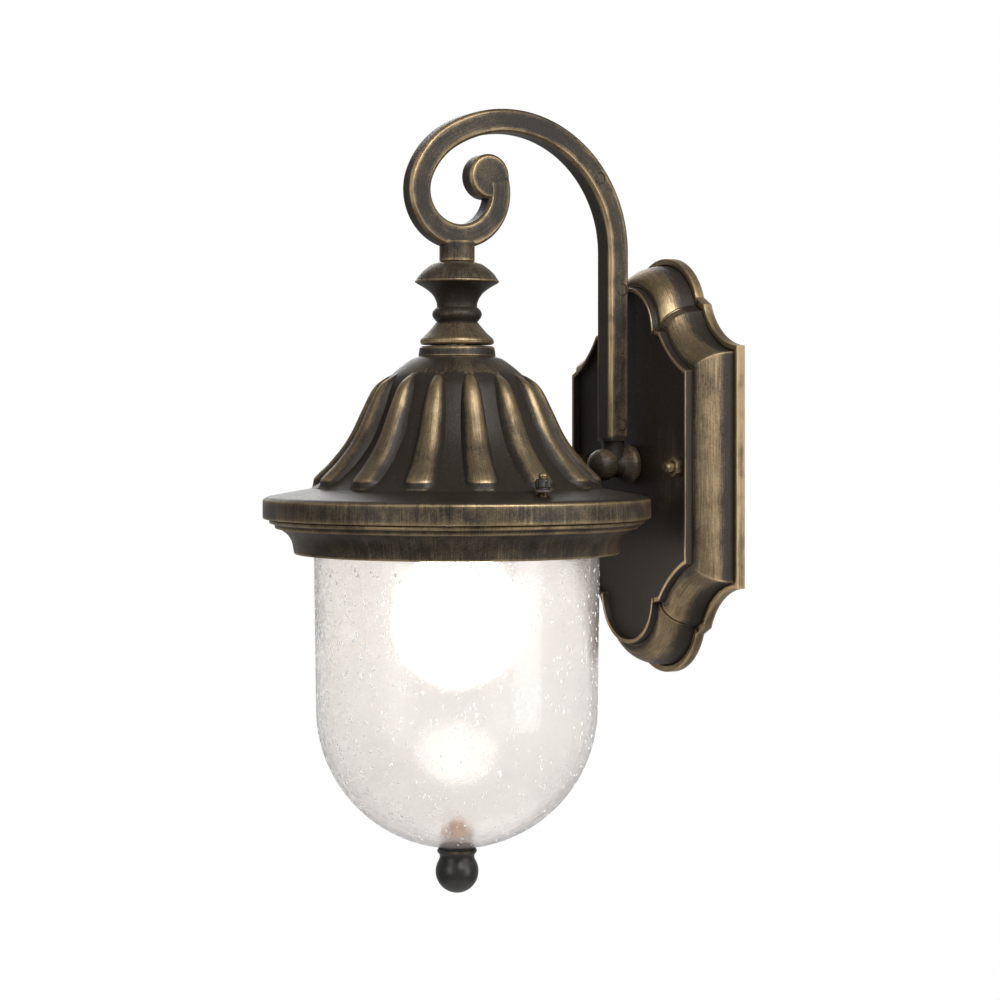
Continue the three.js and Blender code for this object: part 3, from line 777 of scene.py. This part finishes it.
# ---- scroll arm ----


def arm_path(low, end, step=1.6):
    """Middle line of the arm from height low up the leg and round the ring to an angle.
    Each point is (u, z, direction of travel)."""
    bu, bz, big = BIG_ARC
    ru, rz, ring = RING
    first, second = big - BLEND_RADIUS, BLEND_RADIUS - ring
    du, dz = ru - bu, rz - bz
    apart = hypot(du, dz)
    turn = atan2(dz, du) - acos((apart**2 + first**2 - second**2) / (2 * apart * first))
    blend = (bu + first * cos(turn), bz + first * sin(turn), BLEND_RADIUS)
    turn2 = atan2(rz - blend[1], ru - blend[0])
    path = []
    rise = ceil((bz - low) / 3)
    for k in range(rise):
        path.append((LEG_U, low + (bz - low) * k / rise, pi / 2))
    for (u, z, radius), start, stop in ((BIG_ARC, 0, turn), (blend, turn, turn2), (RING, turn2, end)):
        parts = ceil((stop - start) * radius / step)
        for k in range(parts):
            angle = start + (stop - start) * k / parts
            path.append((u + radius * cos(angle), z + radius * sin(angle), angle + pi / 2))
    u, z, radius = RING
    path.append((u + radius * cos(end), z + radius * sin(end), end + pi / 2))
    return path


def thickness(u):
    """Thickness of the arm, which grows towards the wall."""
    return THICKNESS_AT_AXIS + (THICKNESS_AT_LEG - THICKNESS_AT_AXIS) * u / LEG_U


def swept(path, section, rub):
    """Sweeps a closed section of (outward, side) points; side runs from -1 to 1 across the thickness."""
    rows = []
    for k, (u, z, heading) in enumerate(path):
        out = (sin(heading), -cos(heading))
        half = thickness(u) / 2
        rows.append([(x, u + out[0] * v - REACH, z + out[1] * v) for v, x in section(half, k)])
    flat = section(THICKNESS_AT_LEG / 2, 0)
    shell = Shell()
    along = lengths([(u, z) for u, z, _ in path])
    first = shell.grid(rows, along, lengths(flat + flat[:1]), rub)
    shell.cap(first, len(flat))
    shell.cap(first + len(flat) * (len(rows) - 1), len(flat))
    return shell


CHANNEL_HALF = 2.5
REBATE_HALF = 3.6
REBATE_DEPTH = 1.9
CHANNEL_FLOOR = 2.5  # of the lead's channel, measured from the arm's middle plane
SIDE_RUB = 0.15
ARC_TOP = 0.46  # share of the arm's length at which the arc is highest


def arm_section(channel_rows):
    """Section of the arm, with the lead's channel open in the first rows."""
    def section(half, k):
        h = ARM_WIDTH / 2
        c = ARM_CHAMFER
        flat = h - c
        open_here = k < channel_rows
        floor = -half + REBATE_DEPTH if open_here else -half
        deep = CHANNEL_FLOOR if open_here else -half
        ring = [(-h, half - c, 0.35), (-flat, half, 0.35)]
        ring += [(v, half) for v in (-2.4, -1.2, 0.0, 1.2, 2.4)]
        ring += [(flat, half, 0.35), (h, half - c, 0.35)]
        ring += [(h, x) for x in (half - c - 1.2, 0.0, -half + c + 1.2)]
        ring += [(h, -half + c, 0.35), (flat + 0.05, -half, 0.1)]
        ring += [(REBATE_HALF - 0.25, -half), (REBATE_HALF - 0.3, floor), (CHANNEL_HALF, floor)]
        ring += [(CHANNEL_HALF, deep), (-CHANNEL_HALF, deep), (-CHANNEL_HALF, floor)]
        ring += [(-REBATE_HALF + 0.3, floor), (-REBATE_HALF + 0.25, -half)]
        ring += [(-flat - 0.05, -half, 0.1), (-h, -half + c, 0.35)]
        ring += [(-h, x) for x in (-half + c + 1.2, 0.0, half - c - 1.2)]
        return eased(ring, closed=True, steps=3)
    return section


def scroll_arm():
    path = arm_path(ARM_FOOT_Z - 0.4, RING_END)
    # the channel for the lead runs as far as the bottom of the ring
    reach = len(arm_path(ARM_FOOT_Z - 0.4, COVER_END + 0.03))
    section = arm_section(reach)

    def rub(i, j, point):
        u, z, heading = path[i]
        if i == len(path) - 1:
            return -EDGE_RUB
        if point[0] < 0.36 * thickness(u):
            return 0.03
        out = (point[1] + REACH - u) * sin(heading) - (point[2] - z) * cos(heading)
        edge = step_up(0.6, 0.95, abs(out) / (ARM_WIDTH / 2))
        if dist((point[1] + REACH, point[2]), SCROLL_DISC[:2]) < SCROLL_DISC[2] - 0.8:
            return SIDE_RUB - edge * EDGE_RUB
        favoured = (out > 0) == (i > 0.55 * len(path))
        crest = 1 - step_up(0.04, 0.14, abs(i / len(path) - ARC_TOP))
        return SIDE_RUB - 0.14 * crest + edge * (0.22 if favoured else -0.26)

    band = swept(path, section, rub).mesh()
    u, z, radius = SCROLL_DISC
    half = thickness(u) / 2
    rim = [(0, -half), (radius - ARM_CHAMFER, -half, 0.35), (radius, -half + ARM_CHAMFER, 0.35),
           (radius, half - ARM_CHAMFER, 0.35), (radius - ARM_CHAMFER, half, 0.35), (0, half)]
    disc = lathe(fine(rim, 1.3, False), 72, lambda r, x: SIDE_RUB if x > half * 0.72 else 0.03,
                 across_arm_at(u, z), closed=False).mesh()
    post = [(STEM_BORE, POST_BOTTOM), (POST_RADIUS, POST_BOTTOM, 0.4), (POST_RADIUS, POST_TOP),
            (STEM_BORE, POST_TOP)]
    post = lathe(dense(eased(post, closed=True), 1.2), 72, 0.2).mesh()
    neck = [(0, FOOT_Z), (5.4, FOOT_Z), (5.2, ARM_FOOT_Z - 2.4), (5.9, ARM_FOOT_Z + 0.6),
            (0, ARM_FOOT_Z + 0.6)]
    neck = lathe(dense(neck, 1.5), 48, -0.4, hanging_at(0, LEG_U - REACH), closed=False).mesh()
    marks = [mark(*place) for place in EJECTOR_MARKS]
    whole = united(band, [disc, post, neck, foot_mesh()])
    whole = united(whole, marks, "DIFFERENCE", 32)
    add("scroll_arm_casting", whole, WALL, "antique_bronze", "scroll_arm")


def foot_mesh():
    """Collar, neck and ball that stand out of the plate under the arm's leg."""
    back = PANEL_FRONT + 0.3
    ball_at, ball = 39.1, 7.6
    collar = [(STEM_BORE, back), (8.9, back, 0.4), (9.6, back + 1.3, 1.0), (9.6, back + 3.6, 1.6),
              (7.6, back + 6.0, 1.2), (5.9, back + 8.2, 1.2)]
    arc = [(ball * sin(t), ball_at - ball * cos(t))
           for t in (0.86 + (pi - 0.86) * k / 22 for k in range(23))]
    arc[-1] = (0, ball_at + ball)
    profile = dense(eased([*collar, *arc], steps=5), 1.0)[::-1]
    profile += [(STEM_BORE, back + 7), (0, back + 7)]
    return lathe(profile, 72, lambda r, d: 0.24 if r > 6.4 else 0.03,
                 on_wall_at(0, FOOT_Z), closed=False).mesh()


# Round marks left in the casting's flat side: (u, z, radius).
EJECTOR_MARKS = ((74.0, 136.0, 2.9), (86.4, 83.6, 2.9), (86.2, 19.4, 2.9))


def mark(u, z, radius):
    half = thickness(u) / 2
    ring = [(radius, half - 0.35), (radius, half + 1), (radius - 0.55, half + 1),
            (radius - 0.55, half - 0.2)]
    return lathe(ring, 40, -0.5, across_arm_at(u, z)).mesh()


def arm_cover():
    path = arm_path(ARM_FOOT_Z + 1.3, COVER_END)

    def section(half, _):
        strip = [(3.3, -half, 0.3), (3.3, -half + 1.6, 0.1), (-3.3, -half + 1.6, 0.1), (-3.3, -half, 0.3)]
        return eased(strip, closed=True, steps=2)

    mesh = swept(path, section, 0.15).mesh()
    add("arm_cover_strip", mesh, WALL, "antique_bronze", "arm_cover")


# ---- knob and canopy ----


def turned_knob():
    low, high = edges("turned_knob")
    hat = smooth([(9.2, 73.4), (9.5, 75.8), (11.2, 79), (14.2, 81.7), (18.6, 84.3)], 6)
    cone = smooth([(19.0, 85.6), (17.0, 88.5), (14.4, 91.0), (11.4, 93.1)], 6)
    bead = [(9.3 + 2.1 * sin(pi * k / 10) ** 0.8, 66.9 + 6.4 * k / 10) for k in range(11)]
    flare = smooth([(16.4, 59.0), (13.6, 61.6), (11.0, 64.6), (9.4, 66.6)], 5)
    profile = [(STEM_BORE, low[2]), (16.2, low[2], 0.3), (16.9, low[2] + 0.7, 0.3), (16.9, 58.2, 0.5)]
    profile += flare + bead[1:] + hat[1:] + [(19.4, 84.9, 0.3), (19.2, 85.5, 0.3)] + cone
    profile += [(8.3, high[2], 0.3), (STEM_BORE, high[2])]

    def rub(r, z):
        if z > 85.3:
            return 0.23
        if z < 66 and r > 10:
            return 0.3
        return 0.0

    mesh = lathe(fine(profile, 1.1), 144, rub).mesh()
    add("knob_turning", mesh, WALL, "antique_bronze", "turned_knob")


# Bell of the canopy, as (height, radius) from the flange up, and the flutes on it.
BELL = ((-9.0, 66.0), (-6.4, 62.2), (-3.4, 58.4), (3.0, 51.6), (13.4, 44.0), (26.0, 38.4), (36.2, 34.4),
        (40.4, 31.7), (43.6, 28.6), (46.6, 25.0), (49.4, 21.0), (50.6, 17.9))
FLUTE_HEIGHT = ((-9.2, 0.0), (-8.8, 0.7), (-6.4, 3.8), (-5.4, 5.0), (-4.6, 5.6), (-2.0, 6.1), (3.0, 6.2),
                (13.4, 6.0), (24.4, 5.5), (31.0, 5.0), (35.5, 4.3), (38.5, 3.3), (40.4, 2.2), (41.6, 1.1),
                (42.4, 0.0))
FLUTE_HALF_WIDTH = ((-9.2, 5.9), (-7.4, 6.8), (-5.2, 7.5), (2.4, 6.9), (13.4, 6.2), (24.4, 5.5),
                    (31.0, 4.8), (36.0, 4.1), (39.0, 3.3), (41.0, 2.2), (42.4, 1.0))
SIDES = tuple(-1 + 2 * k / 18 for k in range(19))  # places across a flute, from edge to edge
GAP_STEPS = 7
FLUTE_FULLNESS = 2.6  # power of the flute's section: 2 is a parabola, more is fuller


def canopy():
    bell = smooth([(r, z) for z, r in BELL[::-1]], 6)
    neck = eased([(STEM_BORE, 55.4), (16.4, 55.4, 0.3), (17.2, 54.7, 0.4), (17.7, 51.2, 0.3), (17.6, 50.9)])
    flange = eased([(66.0, -9.0), (66.8, -9.6, 0.5), (86.6, -13.2, 0.8), (RIM_RADIUS, -14.6, 0.7),
                    (RIM_RADIUS, RIM_BOTTOM + 0.5, 0.4), (RIM_RADIUS - 0.5, RIM_BOTTOM, 0.3),
                    (82, RIM_BOTTOM)])
    inside = [(80.5, -16), (64, -12.6), (47.5, 1.5), (32.5, 31), (16, 46.8), (STEM_BORE, 46.8)]
    neck = dense(neck, 1.0)
    profile = neck + bell + dense(flange[1:], 1.3) + inside
    rows = []
    rubs = []
    for k, (radius, z) in enumerate(profile):
        on_bell = len(neck) <= k < len(neck) + len(bell)
        height = lookup(FLUTE_HEIGHT, z) if on_bell and -9.2 < z < 42.4 else 0.0
        half = lookup(FLUTE_HALF_WIDTH, z) / max(radius, 20.0)
        row = []
        rub_row = []
        for flute in range(FLUTES):
            middle_angle = FLUTE_PHASE + flute * 2 * pi / FLUTES
            offsets = [(s * half, s) for s in SIDES]
            spare = 2 * pi / FLUTES - 2 * half
            offsets += [(half + spare * g / (GAP_STEPS + 1), None) for g in range(1, GAP_STEPS + 1)]
            for angle, s in offsets:
                lift = height * (1 - abs(s) ** FLUTE_FULLNESS) if s is not None else 0.0
                r = radius + lift
                a = middle_angle + angle
                row.append(hanging(r * cos(a), r * sin(a), z))
                rub_row.append(canopy_rub(radius, z, s, height, on_bell))
        rows.append(row)
        rubs.append(rub_row)
    shell = Shell()
    girth = [p[:2] for p in rows[len(rows) // 2]]
    around = lengths(girth + girth[:1])
    shell.grid(rows, lengths(profile), around, lambda i, j, p: rubs[i][j], closed_rows=True)
    mesh = shell.mesh(40)
    holes = [drill(STUD_HOLE, -30, -5, hanging_at(x, -REACH)) for x in pair_at("holder_stud")]
    mesh = united(mesh, holes, "DIFFERENCE", 40)
    add("canopy_casting", mesh, WALL, "antique_bronze", "canopy")


def canopy_rub(radius, z, s, height, on_bell):
    if on_bell:
        if s is None or height < 0.3:
            return 0.17 if z > 43 else 0.0
        crest = (1 - step_up(0.5, 0.9, abs(s))) * step_up(-6.2, -5.0, z)
        ends = max(step_up(12, 34, z), 1 - step_up(-5, 0, z))
        return (0.42 + 0.28 * ends) * crest * step_up(0.3, 2.0, height)
    if z > 50:
        return 0.08
    return 0.25 if radius > RIM_RADIUS - 1.5 else -0.2


# ---- holder, shade and lamp ----


def glass_holder():
    _, high = edges("glass_holder")
    top = high[2]
    cove = smooth([(80.3, -28.4), (77.6, -30.4), (75.7, -33.4), (74.9, -36.6), (74.6, -38.6)], 5)
    ring = [(72.4, top), (85.4, top, 0.3), (85.8, top - 0.5, 0.3), (85.8, -25.2, 0.4), (83.4, -26.0, 0.3),
            (83.2, -27.6, 0.5), (80.6, -28.1, 0.2)] + cove[1:]
    ring += [(74.3, -39.3, 0.5), (67.4, -39.3, 0.3), (67.4, -36.4), (72, -36.4)]
    shell = lathe(fine(ring, 1.3), 192, lambda r, z: 0.16 + 0.08 * (1 - step_up(-39, -33, z)))
    add("holder_ring", shell.mesh(), SHADE, "antique_bronze", "glass_holder")


def dome(radius, bottom, hole, count):
    """Half-ellipse from the shade's spring line down to the hole in its bottom."""
    last = acos(hole / radius)
    angles = [last * k / count for k in range(count + 1)]
    return [(radius * cos(a), SHADE_SPRING - (SHADE_SPRING - bottom) * sin(a)) for a in angles]


def glass_shade():
    inner = SHADE_RADIUS - SHADE_WALL
    rim = [(inner, -31.4, 0.6), (70.6, -31.4, 0.8), (71.2, -33, 0.6), (70.6, -35, 0.6), (67.4, -35, 1.0),
           (SHADE_RADIUS, -39, 2.0)]
    outside = dome(SHADE_RADIUS - 1, SHADE_BOTTOM, 5.5, 36)
    inside = dome(inner - 1, SHADE_BOTTOM + SHADE_WALL, 5.5, 36)[::-1]
    profile = eased([*rim, *outside, *inside], closed=True)
    mesh = lathe(dense(profile, 3.0), 160).mesh(60)
    add("blown_shade", mesh, SHADE, "seeded_glass", "glass_shade")


SEED_COUNT = 1600
SEED_SIDE = radians(-100)  # the side where the seeds crowd


def shade_surface(z):
    """Outer radius of the shade at a height."""
    if z > SHADE_SPRING:
        return SHADE_RADIUS - 1 + (z - SHADE_SPRING) / (-39 - SHADE_SPRING)
    part = (SHADE_SPRING - z) / (SHADE_SPRING - SHADE_BOTTOM)
    return (SHADE_RADIUS - 1) * sqrt(max(0.0, 1 - part * part))


def shade_seeds():
    """Bubbles that break the outer skin of the glass as small drops."""
    chance = random.Random(7)
    ball = bmesh.new()
    bmesh.ops.create_icosphere(ball, subdivisions=1, radius=1)
    corners = [v.co.copy() for v in ball.verts]
    faces = [[v.index for v in f.verts] for f in ball.faces]
    ball.free()
    shell = Shell()
    while len(shell.verts) < SEED_COUNT * len(corners):
        z = chance.uniform(-169, -44)
        angle = chance.uniform(0, 2 * pi)
        crowding = 0.65 + 0.35 * cos(angle - SEED_SIDE)
        if chance.random() > shade_surface(z) / SHADE_RADIUS * crowding:
            continue
        size = 0.3 + 0.42 * chance.random() ** 1.8
        tall = size * chance.uniform(1.1, 2.2)
        radius = shade_surface(z) - 0.25 * size
        out = Vector((cos(angle), sin(angle), 0))
        if z < SHADE_SPRING:
            fall = (SHADE_SPRING - z) / (SHADE_SPRING - SHADE_BOTTOM) ** 2 * (SHADE_RADIUS - 1) ** 2
            out = Vector((radius * cos(angle), radius * sin(angle), -fall)).normalized()
        around = Vector((-sin(angle), cos(angle), 0))
        down = out.cross(around)
        centre = Vector((radius * cos(angle), radius * sin(angle), z))
        first = len(shell.verts)
        for c in corners:
            p = centre + out * c.x * size * 0.55 + around * c.y * size + down * c.z * tall
            shell.verts.append(hanging(*p))
            shell.rub.append(0.0)
        for face in faces:
            shell.faces.append([first + k for k in face])
            shell.streaks.append([(corners[k].z, corners[k].y) for k in face])
    mesh = shell.mesh(180)
    # the seeds take a glass material with a painted glow
    add("shade_seeds", mesh, SHADE, "seeded_glass", material=SEEDS_PAINTED_GLOW)


def lamp_envelope():
    skin = 0.9

    def outline(shrink):
        radius = LAMP_RADIUS - shrink
        angles = [-pi / 2 + 2.3 * k / 28 for k in range(29)]
        ball = [(max(0.0, radius * cos(a)), LAMP_Z + radius * sin(a)) for a in angles]
        ball[0] = (0.0, ball[0][1])
        neck = smooth([ball[-1], (16.8 - shrink, -40.5), (14.4 - shrink, -30), (13.2 - shrink, -19.4)], 5)
        return ball + neck[1:]

    profile = outline(0) + outline(skin)[::-1]
    mesh = lathe(profile, 96, closed=False).mesh(60)
    add("lamp_bulb", mesh, "lamp", "lamp_glass", "lamp_envelope")


# ---- finial and coupling ----


def finial():
    _, high = edges("finial")
    top = high[2]
    start = 2.19
    ball = [(BALL_RADIUS * sin(t), BALL_Z - BALL_RADIUS * cos(t))
            for t in (start * (1 - k / 32) for k in range(33))]
    ball[-1] = (0.0, ball[-1][1])
    profile = [(0, top - 8), (2.8, top - 8), (2.8, top, 0.2), (8.8, top, 0.3), (9.2, top - 0.6, 0.4),
               (9.0, top - 1.3, 0.4), (8.0, top - 2.4, 0.7), (7.9, top - 3.7, 0.6)] + ball[1:]
    mesh = lathe(fine(profile, 1.0, False), 96, closed=False).mesh(50)
    add("finial_turning", mesh, "finial_body", "dark_bronze", "finial")


def placement(node, along_wall):
    """Start and end of a node along its axis, and the placement of pieces turned about it."""
    low, high = edges(node)
    x, y, z = middle(node)
    if along_wall:
        return -high[1], -low[1], on_wall_at(x, z)
    return low[2], high[2], hanging_at(x, y)


def nut(name, node, across, bore, along_wall, body, slot):
    """Hexagon nut with coned ends and a bevelled, grooved bore."""
    near, far, place = placement(node, along_wall)
    corner = across / sqrt(3)
    inset = 0.09 * across
    profile = [(bore + 0.35, near), (across / 2 * 0.94, near), (corner, near + inset * 0.7),
               (corner, far - inset), (across / 2 * 0.9, far), (bore + 0.35, far), (bore, far - 0.35)]
    turns = max(2, round((far - near - 1) / 0.7))
    for k in range(turns):
        z = far - 0.5 - (far - near - 1) * k / turns
        profile += [(bore, z), (bore + 0.22, z - 0.3)]
    profile += [(bore, near + 0.35)]

    def hexagon(angle, radius, z):
        if radius <= across / 2 * 0.8:
            return radius
        off_flat = (angle + pi / 6) % (pi / 3) - pi / 6
        return min(radius, across / 2 / cos(off_flat))

    mesh = lathe(profile, 96, place=place, ripple=hexagon).mesh(28)
    add(name, mesh, body, slot, node)


def threaded_stud(name, node, radius, along_wall, body, slot):
    """Stud with a rolled thread and a chamfered end."""
    near, far, place = placement(node, along_wall)
    pitch = 0.8
    profile = [(0, near), (radius - 0.5, near), (radius - 0.05, near + 0.5)]
    z = near + 0.9
    while z < far - 1.2:
        profile += [(radius - 0.32, z), (radius - 0.02, z + pitch * 0.45), (radius - 0.02, z + pitch * 0.55)]
        z += pitch
    profile += [(radius - 0.1, far - 0.6), (radius - 0.6, far), (0, far)]
    mesh = lathe(profile, 40, place=place, closed=False).mesh(30)
    add(name, mesh, body, slot, node)


def knurled_nut(side):
    """Thumb nut with a plain foot and twelve scallops round its head."""
    node = "knurled_nut_" + side
    near, far, place = placement(node, False)
    bore = 2.2
    profile = fine([(bore, near), (4.0, near, 0.2), (4.2, near + 0.3, 0.2), (4.2, near + 1.1, 0.3),
                    (3.0, near + 1.5, 0.2), (2.9, near + 1.9, 0.2), (3.4, near + 2.3, 0.3),
                    (3.4, far - 0.6, 0.3), (3.0, far, 0.3), (bore, far)], 0.6)

    def ripple(angle, radius, z):
        if radius > 2.95 and z > near + 1.9:
            return radius - 0.3 * (0.5 - 0.5 * cos(12 * angle)) ** 0.7
        return radius

    name = "knurled_thumb_nut_" + side
    mesh = lathe(profile, 144, place=place, ripple=ripple).mesh()
    add(name, mesh, "holder_nut_" + side, "dark_bronze", node)


def coupling_cup():
    near, far, _ = placement("coupling_cup", False)
    profile = [(2.8, near), (7.5, near, 0.2), (7.7, near + 0.4, 0.3), (7.7, near + 1.1, 0.2),
               (7.4, near + 1.4, 0.2), (7.4, near + 2.0, 0.2), (7.7, near + 2.3, 0.2),
               (7.7, far - 0.7, 0.4), (6.9, far, 0.4), (2.8, far)]
    mesh = lathe(fine(profile, 0.8), 96).mesh()
    add("coupling_cup_turning", mesh, SHADE, "copper_plate", "coupling_cup")


# ---- mounting bar ----


GROUND_HOLE_X = 15


def mounting_bar():
    """Stamped steel bar with slots and holes, all its edges rolled over a little."""
    low, high = edges("mounting_bar")
    outline = [(low[0], low[2]), (high[0], low[2]), (high[0], high[2]), (low[0], high[2])]
    curve = bpy.data.curves.new("bar", "CURVE")
    curve.dimensions = "2D"
    curve.fill_mode = "BOTH"
    bevel = 0.3
    curve.extrude = ((high[1] - low[1]) / 2 - bevel) * MM
    curve.bevel_depth = bevel * MM
    curve.offset = -bevel * MM
    curve.bevel_resolution = 2

    def loop(points):
        spline = curve.splines.new("POLY")
        spline.points.add(len(points) - 1)
        for p, (x, z) in zip(spline.points, points):
            p.co = (x * MM, z * MM, 0, 1)
        spline.use_cyclic_u = True

    def slot(x, half_length, half_height):
        right = [(x + half_length - half_height + half_height * cos(a), half_height * sin(a))
                 for a in (pi * (k / 12 - 0.5) for k in range(13))]
        return right + [(2 * x - p[0], -p[1]) for p in right]

    rounding = [(*p, 2.0) for p in outline]
    loop(eased(rounding, closed=True, steps=6))
    for x in (30, -30):
        loop(slot(x, 4.5, 2.5))
    for x in (*pair_at("mounting_stud"), GROUND_HOLE_X):
        loop(circle(x, 0, STUD_HOLE + bevel, 32))
    holder = bpy.data.objects.new("bar", curve)
    scene.collection.objects.link(holder)
    mesh = baked(holder)
    depth = (low[1] + high[1]) / 2 * MM
    for v in mesh.vertices:
        v.co = (v.co.x, depth - v.co.z, v.co.y)
    work = merged(mesh)
    work.to_mesh(mesh)
    work.free()
    add("stamped_bar", smoothed(mesh, 35), WALL, "zinc_steel", "mounting_bar")


# ---- assembly ----

backplate()
scroll_arm()
arm_cover()
turned_knob()
canopy()
glass_holder()
glass_shade()
shade_seeds()
lamp_envelope()
finial()
coupling_cup()
mounting_bar()
for side in ("left", "right"):
    knurled_nut(side)
    threaded_stud("threaded_stud_" + side, "mounting_stud_" + side, 2.4, True, WALL, "brass_hardware")
    threaded_stud("holder_screw_" + side, "holder_stud_" + side, 2.1, False, SHADE, "brass_hardware")
    nut("hex_nut_" + side, "mounting_nut_" + side, 8.6, 2.5, True, "wall_nut_" + side, "antique_bronze")
nut("coupling_hex_nut", "coupling_nut", 7.4, 2.6, False, SHADE, "copper_plate")
nut("foot_hex_nut", "foot_locknut", 14, 4.9, True, WALL, "zinc_steel")
threaded_stud("finial_screw", "finial_stud", 2.5, False, SHADE, "copper_plate")

# Frame nodes that keep their own shape, by the finish they take.
PLAIN_NODES = {
    "zinc_steel": ("foot_nipple", "foot_washer", "stem_nipple", "canopy_washer", "canopy_locknut",
                   "socket_cup", "lamp_cap"),
    "brass_hardware": ("socket_nut_upper", "socket_nut_lower", "screw_shell", "centre_contact"),
    "rubber_black": ("glass_gasket", "shade_washer"),
    "ground_green": ("ground_screw",),
    "lead_sleeve": ("supply_lead",),
    "porcelain": ("socket_body",),
    "stem_glass": ("lamp_stem",),
}
for slot_name, node_names in PLAIN_NODES.items():
    for node_name in node_names:
        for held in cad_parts[node_name].material_slots:
            held.material = FINISHES[slot_name]

# ---- studio ----

floor_look = Look("studio_floor")
floor_look.colour(floor_look.noise(6, 2), (0.80, 0.79, 0.78), (0.84, 0.83, 0.82))
floor_look.set("Roughness", 0.8)
floor = bpy.data.meshes.new("studio_floor")
FLOOR_Z = -0.5
rim_points = [(x, y, FLOOR_Z) for x, y in circle(0, -0.12, 0.36, 96)]
floor.from_pydata(rim_points, [], [list(range(len(rim_points)))])
floor_piece = bpy.data.objects.new("studio_floor", floor)
scene.collection.objects.link(floor_piece)
floor.materials.append(floor_look.material)

world = bpy.data.worlds.new("studio")
scene.world = world
world.use_nodes = True
sky = Nodes(world.node_tree)
background = sky.tree.nodes["Background"]
background.inputs["Color"].default_value = (1, 1, 1, 1)
rays = sky.node("ShaderNodeLightPath")
seen = sky.math("MAXIMUM", rays.outputs["Is Camera Ray"], rays.outputs["Is Transmission Ray"])

# a white backdrop behind the lantern, dim studio elsewhere
ahead = sky.node("ShaderNodeVectorMath")
ahead.operation = "DOT_PRODUCT"
ahead.inputs[1].default_value = (-sin(AZIMUTH), cos(AZIMUTH), 0)
sky.feed(ahead.inputs[0], sky.node("ShaderNodeTexCoord").outputs["Generated"])
backdrop = sky.spread(ahead.outputs["Value"], 0.35, 0.85, 0.22, 0.5)
sky.feed(background.inputs["Strength"], sky.math("MAXIMUM", seen, backdrop))


LIGHTS_AIM = Vector((0, -0.08, 0))


def soft_light(name, azimuth, elevation, distance, size, power):
    """Area light on a circle round the lantern; azimuth 0 is straight in front of the wall."""
    data = bpy.data.lights.new(name, "AREA")
    data.shape = "RECTANGLE"
    data.size, data.size_y = size
    data.energy = power
    obj = bpy.data.objects.new(name, data)
    scene.collection.objects.link(obj)
    turn, lift = radians(azimuth), radians(elevation)
    offset = Vector((sin(turn) * cos(lift), -cos(turn) * cos(lift), sin(lift)))
    obj.location = LIGHTS_AIM + offset * distance
    obj.rotation_euler = (-offset).to_track_quat("-Z", "Y").to_euler()


soft_light("key", 86, 34, 1.5, (0.6, 0.6), 19)
soft_light("side", 118, 5, 1.4, (0.6, 1.2), 7.5)
soft_light("front", 20, 8, 1.6, (0.5, 1.0), 6)
soft_light("rim", 250, 25, 1.6, (0.8, 0.8), 7)

scene.view_settings.view_transform = "Standard"
scene.view_settings.look = "None"
